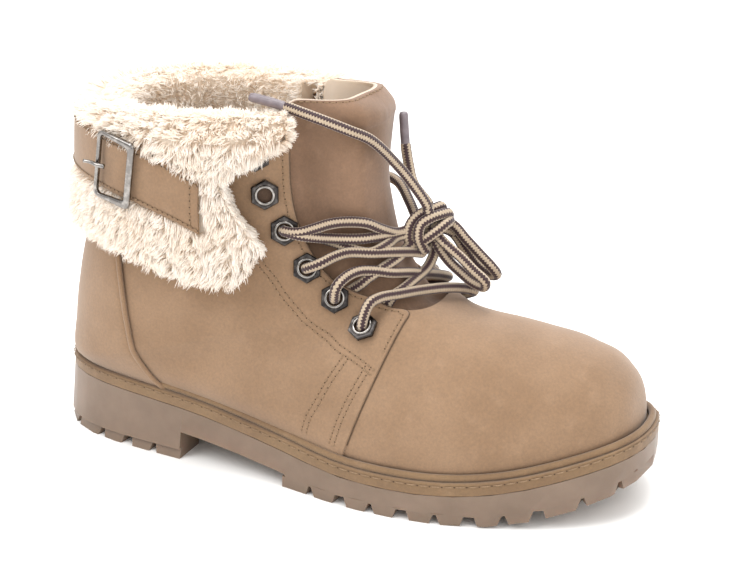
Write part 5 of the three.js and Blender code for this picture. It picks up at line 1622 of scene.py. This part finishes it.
class Eyelets:
    """Hexagonal eyelets with a round lip and a barrel through the leather."""

    def __init__(self, palette: Palette) -> None:
        """Works out the places of the eyelets, from the collar down, on both sides."""
        self.palette = palette
        self.spots: dict[tuple[int, int], Spot] = {}
        for side in SIDES:
            for row, (x, z, lift) in enumerate(EYELET_ROWS):
                p, angle = Last.on_side(np.array([x * SOLE_LENGTH]), np.array([z * COLLAR_HEIGHT]), side)
                turn = angle + np.array([-0.3, -0.15, 0, 0.15, 0.3])
                out = unit(Last.normal(np.repeat(p, len(turn)), turn, side).sum(axis=0))
                at = Last.skin(p, angle, side, np.array([QUARTER_STEP]))[0]
                self.spots[side, row] = Spot(at, out, lift)

    def build(self) -> None:
        """Builds the eyelets, and dark discs inside their barrels as painted shade of the holes."""
        names = [f"eyelet_{s}_{i}" for s in ("outer", "inner") for i in range(1, 7)]
        piece = Piece("eyelet_plates", self.palette.metal, Slot.METAL, names)
        # The lips wear the lighter gunmetal, a painted highlight.
        lips = Piece("eyelet_lips", self.palette.bright, Slot.METAL)
        hole_shade_discs = Piece("eyelet_hole_shade_discs", self.palette.depth, Slot.NUBUCK)
        for spot in self.spots.values():
            x = unit(np.cross([0.0, 0.0, 1.0], spot.out))
            y = np.cross(spot.out, x)
            turn = np.linspace(0, 2 * np.pi, 49)
            hexagon = (EYELET_ACROSS_FLATS / 2) / np.cos((turn + np.pi / 6) % (np.pi / 3) - np.pi / 6)
            hole = EYELET_HOLE / 2
            top = spot.lift + EYELET_FLANGE
            # Each ring of the plate: whether it is hexagonal, its share or radius, and its height.
            profile = ((True, 1.0, spot.lift - 0.3), (True, 1.0, top - 0.5), (True, 0.93, top - 0.05),
                       (True, 0.86, top), (False, hole + 1.0, top), (False, hole + 0.3, top - 0.3),
                       (False, hole + 0.3, -UPPER_WALL - 2.6))
            lip = np.radians(np.linspace(0, 360, 13))
            ring_r = (hole + 0.55 + 0.62 * np.cos(lip))[:, None]
            around = np.cos(turn)[None, :, None] * x + np.sin(turn)[None, :, None] * y
            height = (top + 0.12 + 0.5 * np.sin(lip))[:, None, None] * spot.out
            lips.grid(spot.at + ring_r[..., None] * around + height)
            # A dark disc low in each barrel: painted shade inside the hole.
            floor = np.array([hole + 0.25, 0.01])[:, None, None] * around
            hole_shade_discs.grid(spot.at + floor + spot.out * (spot.lift + 0.35))
            reach = np.array([hexagon * far if flat else np.full(len(turn), far) for flat, far, _ in profile])
            heights = np.array([height for _, _, height in profile])[:, None, None] * spot.out
            piece.grid(spot.at + reach[..., None] * around + heights)
        piece.weld().done(sharp=28)
        lips.weld().done()
        hole_shade_discs.weld().done()


@dataclass(frozen=True)
class Strand:
    """One crossing of the lace: its points in mm, the eyelet it comes out of and the one it goes into."""

    points: tuple[tuple[float, float, float], ...]
    out_of: tuple[int, int] | None = None
    into: tuple[int, int] | None = None


STRANDS = (
    Strand(((160.5, -31.5, 85.5), (163, -26, 87), (168.5, -19, 87), (174.5, -10, 86.5), (182, 0, 85.5),
            (187, 9, 83), (190, 15, 80)), (LATERAL, 5), (MEDIAL, 5)),
    Strand(((147, -34, 92.5), (149.5, -29.5, 95.7), (153, -24.7, 97), (158, -20.5, 96.5), (164, -16, 95),
            (168.5, -9, 93.5), (172.5, -1, 91), (175.5, 8, 88), (177, 17, 84)), (LATERAL, 4), (MEDIAL, 4)),
    Strand(((138.5, -32.7, 100.7), (143, -28.2, 103), (147.5, -24.5, 104.3), (157, -19.5, 104),
            (164.5, -12, 103), (168.5, -4, 101), (170.5, 2, 99)), (LATERAL, 3), (MEDIAL, 3)),
    Strand(((129.3, -34, 112.5), (134.5, -30, 111), (140, -25, 109.7), (151.5, -19.5, 109.5),
            (157.5, -13, 109.5), (162.4, -6.6, 109.5), (167, -1.5, 110), (171, 2, 110)), (LATERAL, 2)),
    Strand(((129.3, -34, 113.5), (134.5, -29.7, 114.7), (139, -25.7, 116), (144.5, -22.5, 116.8),
            (153, -17.5, 116), (158, -12.5, 112.5), (162.4, -6.6, 109.7), (167, -1.5, 110.5), (171, 2, 111)),
           (LATERAL, 2)),
    Strand(((170, 1, 109), (166, -3.2, 108.5), (162, -7, 107.5), (160.5, -13.5, 106), (155.5, -20, 104)),
           into=(LATERAL, 2)),
    Strand(((171, 2, 107.5), (168.3, -1.8, 105), (165.8, -5, 102), (164.5, -11, 100), (160, -18, 96.5),
            (155.5, -22, 93), (153.7, -23, 91.2)), into=(LATERAL, 4)),
    Strand(((173, 4, 106.5), (175, 5.5, 101.8), (174.8, 4.8, 97.6), (173.5, 1, 93), (171, -8, 90),
            (168.5, -14, 87.5), (165.5, -17.3, 85)), into=(LATERAL, 5)),
)
# The inner side's strand from its third eyelet to the knot, after it has left the hole.
INNER_STRAND = ((141, 30.5, 121.5), (150.5, 24.5, 121), (159, 16.5, 115.5), (165, 10, 111), (170, 5, 110))
# The first points of each cord lie in the knot, and so do the last ones of a loop.
BURIED = 2
KNOT_MIDDLE = np.array([172.0, 3.0, 110.0])
# Closed turns of the knot as the camera sees them: to the right, up and towards it, in mm from its middle.
KNOT_TURNS = (
    ((3, 2, -5), (-2, -4, -5), (-5, -8.5, -2), (-7.8, -3.4, 2.5), (-6.6, 2, 4), (-2.6, 6, 4), (2.6, 8, 3),
     (6.4, 9.4, 0), (6.6, 6.6, -3.5)),
    ((5, -1, -4.5), (1, -6.5, -4), (-0.6, -9, 0), (-3.4, -3.6, 4.5), (-2.4, 1.4, 6), (1.4, 4, 6),
     (5.6, 5.6, 4.5), (9.4, 6.4, 1), (9, 3.4, -3)),
    ((0, 3, -4), (-6, 0, -4), (-7, -5, -1), (-2, -5.4, 2.5), (3, -2.4, 5), (8, 1.6, 4), (10, 3.6, 0),
     (6, 4, -4)),
)
BOW_LOOPS = (
    ((172, 3.5, 110), (177, 7, 112), (181.4, 10, 110.8), (187, 11, 105), (193, 12.5, 98.5), (198.5, 14, 92.5),
     (199.5, 17, 88.5), (196, 19, 87), (190, 18, 91), (185, 15.5, 98.5), (180.5, 13, 106), (176.5, 8.5, 109),
     (172, 4, 109)),
    ((172, 3, 109.5), (174.5, 4, 106.8), (177.3, 4, 102.2), (181.5, 5.5, 96), (186.5, 7, 91), (192, 7.5, 87),
     (197.5, 6.5, 86), (199, 4, 89.5), (194, 2.5, 94.5), (188.5, 2, 99.5), (181.9, 1.5, 104.6),
     (177, 2.5, 107.8), (172, 3, 110)),
)
LACE_ENDS = (
    ((172, 2.5, 111), (173.6, 1.6, 115.6), (173.4, 0.5, 120.5), (168.5, -2, 129.5), (162.5, -6, 139),
     (154.5, -17, 152.5), (148, -23, 157), (138, -26.5, 161), (129, -27.5, 163.5), (122.5, -27.5, 165)),
    ((171.5, 4, 111), (171.6, 6.8, 114.6), (170.7, 9.3, 117.9), (162, 12.5, 126), (158.5, 15, 134),
     (157, 15.5, 141)),
)
AGLETS = (
    ((121.9, -27.6, 165.1), (114, -28, 166.7), (105, -28.5, 168)),
    ((156.8, 15.5, 142), (156, 16, 149), (155.5, 16, 156)),
)
CORD_STEP = 0.9
KNOT_STEP = 0.6


@dataclass
class Laces:
    """The braided lace: crossings through the eyelets, the knot, two loops and two ends with aglets."""

    palette: Palette
    eyelets: Eyelets

    def crossing(self, strand: Strand) -> np.ndarray:
        """Returns a crossing's way, with what leads it through the eyelets.

        Args:
            strand: The crossing.

        Returns:
            Its points.
        """
        path = [np.array(point, dtype=float) for point in strand.points]
        if strand.out_of:
            spot = self.eyelets.spots[strand.out_of]
            path = [spot.at + spot.out * depth for depth in (-9.0, -3.0, 2.4)] + path
        if strand.into:
            spot = self.eyelets.spots[strand.into]
            if strand.into[0] == MEDIAL:
                under = spot.at - spot.out * 7.5
                path += [lerp(path[-1], under, 0.45) - [0, 0, 2.5], under, spot.at + spot.out * 1.0,
                         spot.at + spot.out * 4.2 + [5, -2.5, 5]]
            else:
                path += [lerp(path[-1], spot.at - spot.out * 8.0, 0.5), spot.at - spot.out * 8.5]
        return np.array(path)

    def build(self) -> None:
        """Builds the crossings, the knot and the free cords."""
        radius = LACE_DIAMETER / 2
        piece = Piece("lace_crossings", self.palette.braid, Slot.LACE, ("lace_bars",))
        for strand in STRANDS:
            tube(piece, resample(self.crossing(strand), CORD_STEP), radius)
        hole = self.eyelets.spots[MEDIAL, 2]
        lead = [hole.at - hole.out * 7, hole.at + hole.out * 2.5, hole.at + hole.out * 4.6 + [6, -1.5, 2.5]]
        tube(piece, resample(np.array([*lead, *INNER_STRAND]), CORD_STEP), radius)
        piece.weld(capped=True).done()
        knot = Piece("knot_body", self.palette.braid, Slot.LACE, ("lace_knot",))
        for turn in KNOT_TURNS:
            seen = KNOT_MIDDLE + np.array(turn, dtype=float) @ np.array(CAMERA_AXES)
            tube(knot, resample(np.vstack([seen, seen[:1]]), KNOT_STEP), radius)
        for way in (*BOW_LOOPS, *LACE_ENDS):
            for root in self.parted(way, loop=way in BOW_LOOPS)[1]:
                tube(knot, root, radius)
        knot.weld(capped=True).done()
        for k, way in enumerate(BOW_LOOPS, 1):
            self.cord(f"bow_loop_{k}", self.parted(way, loop=True)[0], ())
        for k, (way, into) in enumerate(zip(LACE_ENDS, AGLETS), 1):
            sleeve = Piece(f"aglet_{k}_sleeve", self.palette.aglet, Slot.AGLET, (f"aglet_{k}",))
            into = np.array(into, dtype=float)
            line = resample(into, 0.8)
            reach = np.full(len(line), 2.05)
            reach[:2], reach[-2:] = (1.9, 2.0), (1.9, 1.6)
            tube(sleeve, line, reach)
            made = sleeve.weld(capped=True).done()
            way = [*way, lerp(into[0], into[1], 0.6), into[1]]
            self.cord(f"lace_end_{k}", self.parted(way, loop=False)[0], (made,))

    @staticmethod
    def parted(points: Sequence, loop: bool) -> tuple[np.ndarray, list[np.ndarray]]:
        """Parts a strand where it leaves the knot.

        Args:
            points: Its way, with BURIED points in the knot at the start, and at the end too for a loop.
            loop: Whether it goes back into the knot.

        Returns:
            The line outside the knot, and the lines inside it.
        """
        way = np.array(points, dtype=float)
        line = resample(way, CORD_STEP)
        first, last = (int(np.argmin(np.linalg.norm(line - way[k], axis=1))) for k in (BURIED, -1 - BURIED))
        if not loop:
            return line[first:], [line[:first + 1]]
        return line[first:last + 1], [line[:first + 1], line[last:]]

    def cord(self, node: str, line: np.ndarray, with_pieces: tuple) -> None:
        """Args:
            node: The CAD node that it stands for.
            line: Its way outside the knot.
            with_pieces: The pieces on it.
        """
        piece = Piece(node + "_braid", self.palette.braid, Slot.LACE, (node,))
        taper = np.full(len(line), LACE_DIAMETER / 2)
        if with_pieces:
            taper[-8:] = np.minimum(taper[-8:], 1.85)
        tube(piece, line, taper)
        obj = piece.weld(capped=True).done()
        path = to_row(line)


@dataclass
class Sole:
    """Outsole, welt, insole and the bead round the upper's foot."""

    palette: Palette

    def smoothed(self, node: str, name: str, finish: bpy.types.Material, slot: Slot, bevel_mm: float,
                 low: float, high: float) -> None:
        """Makes a piece from a CAD node's mesh with moulded edges.

        Args:
            node: The CAD node that it stands for.
            name: The new object's name.
            finish: Its material.
            slot: The record's slot.
            bevel_mm: The width of the round on its edges.
            low: How far under the welt's top the lowest rounded edge lies, in mm.
            high: How far under it the highest rounded edge lies.
        """
        piece = Piece(name, finish, slot, (node,))
        piece.bm.from_mesh(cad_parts[node].data)
        bmesh.ops.remove_doubles(piece.bm, verts=piece.bm.verts, dist=1e-6)
        bmesh.ops.dissolve_limit(piece.bm, angle_limit=math.radians(1.5), verts=piece.bm.verts,
                                 edges=piece.bm.edges)
        edges = []
        for e in piece.bm.edges:
            middle = (e.verts[0].co + e.verts[1].co) / 2 / MM
            under = float(welt_top(middle.x + HEEL_MIDDLE)) - middle.z
            if e.is_manifold and e.calc_face_angle(0) > math.radians(34) and high < under < low:
                edges.append(e)
        bmesh.ops.bevel(piece.bm, geom=edges, offset=bevel_mm * MM, segments=2, profile=0.5, affect="EDGES",
                        material=-1, clamp_overlap=True)
        piece.done(sharp=26)

    def build(self) -> None:
        """Builds the pieces under the upper."""
        self.smoothed("outsole", "outsole_rubber", self.palette.sole, Slot.SOLE, 0.6, 60, WELT_HEIGHT + 2)
        self.smoothed("welt", "welt_band", self.palette.welt, Slot.SOLE, 0.8, 1, -1)
        self.smoothed("insole", "insole_fleece", self.palette.wool, Slot.FLEECE, 0.5, 10, -10)
        self.bead()
        self.welt_stitches()

    def outline(self, inset: float, count: int = 260) -> np.ndarray:
        """Returns the plan's closed outline drawn in by an inset, at the welt's top."""
        s = (1 - np.cos(np.linspace(0, np.pi, count))) / 2
        x = plan_x(s, inset)
        z = welt_top(x)
        one = np.stack([x, plan_y(s, LATERAL, inset), z], axis=1)
        other = np.stack([x, plan_y(s, MEDIAL, inset), z], axis=1)[::-1]
        return np.concatenate([one, other[1:]])

    def bead(self) -> None:
        """Builds the round bead on the welt's ledge."""
        radius = BEAD_DIAMETER / 2
        piece = Piece("rand_bead", self.palette.welt, Slot.WELT, ("rand",))
        line = self.outline(BEAD_MARGIN + radius)
        line[:, 2] += CLEARANCE + radius * 0.7
        tube(piece, line, radius, 10)
        piece.weld().done()

    def welt_stitches(self) -> None:
        """Sews the welt's outer face, just under its upper edge."""
        line = self.outline(-0.25)
        drop = line - [0, 0, 1.2]
        centre = self.outline(6.0)
        sew("welt_stitches", [(drop, unit((line - centre) * [1, 1, 0]))], self.palette, 5.2)


# Soft boxes: name, place and size in metres, and power in watts.
LIGHTS = (
    ("key", (-0.55, -0.9, 1.25), 0.9, 13), ("fill", (1.1, -0.7, 0.8), 1.2, 6),
    ("back", (0.2, 1.2, 1.1), 1.2, 12), ("top", (0.05, 0.1, 1.6), 0.8, 14),
)
LIGHTS_AIM = (0.1, 0.0, 0.06)


def studio() -> None:
    """Sets the camera at the photograph's angle, the floor and soft light."""
    right, up, back = (Vector(axis) for axis in CAMERA_AXES)
    target = Vector(CAMERA_TARGET) - Vector((HEEL_MIDDLE, 0, 0))
    camera = bpy.data.cameras.new("camera")
    camera.sensor_width = SENSOR_WIDTH
    camera.lens = SENSOR_WIDTH * FOCAL_LENGTH / PHOTO_WIDTH
    camera.shift_x, camera.shift_y = (shift / PHOTO_WIDTH for shift in SHIFT)
    camera.clip_start, camera.clip_end = 0.01, 20
    eye = bpy.data.objects.new("camera", camera)
    rows = Matrix((right, up, back)).transposed().to_4x4()
    eye.matrix_world = Matrix.Translation((target + back * CAMERA_DISTANCE) * MM) @ rows
    bpy.context.scene.collection.objects.link(eye)
    bpy.context.scene.camera = eye

    g = Graph("studio_paper")
    g.set(Base_Color=srgb("#FBFAF8"), Roughness=0.7)
    bm = bmesh.new()
    bmesh.ops.create_grid(bm, x_segments=1, y_segments=1, size=6.0)
    mesh = bpy.data.meshes.new("floor")
    bm.to_mesh(mesh)
    bm.free()
    floor = bpy.data.objects.new("floor", mesh)
    mesh.materials.append(g.material)
    bpy.context.scene.collection.objects.link(floor)

    world = bpy.data.worlds.new("studio")
    world.use_nodes = True
    world.node_tree.nodes["Background"].inputs["Color"].default_value = srgb("#FFFFFF")
    world.node_tree.nodes["Background"].inputs["Strength"].default_value = 1.0
    bpy.context.scene.world = world
    bpy.context.scene.view_settings.view_transform = "Standard"
    for name, place, size, power in LIGHTS:
        light = bpy.data.lights.new(name, "AREA")
        light.size, light.energy = size, power
        lamp = bpy.data.objects.new(name, light)
        lamp.location = place
        lamp.rotation_euler = (Vector(LIGHTS_AIM) - Vector(place)).to_track_quat("-Z", "Y").to_euler()
        bpy.context.scene.collection.objects.link(lamp)


def main() -> None:
    """Builds the scene in order."""
    logging.basicConfig(level=logging.INFO, format="%(name)s %(message)s")
    palette = Palette()
    studio()
    eyelets = Eyelets(palette)
    Laces(palette, eyelets).build()
    eyelets.build()
    Sole(palette).build()
    Upper(palette).build()
    Tongue(palette).build()
    Cuff(palette).build()
    Strap(palette).build()


if __name__ == "__main__":
    main()
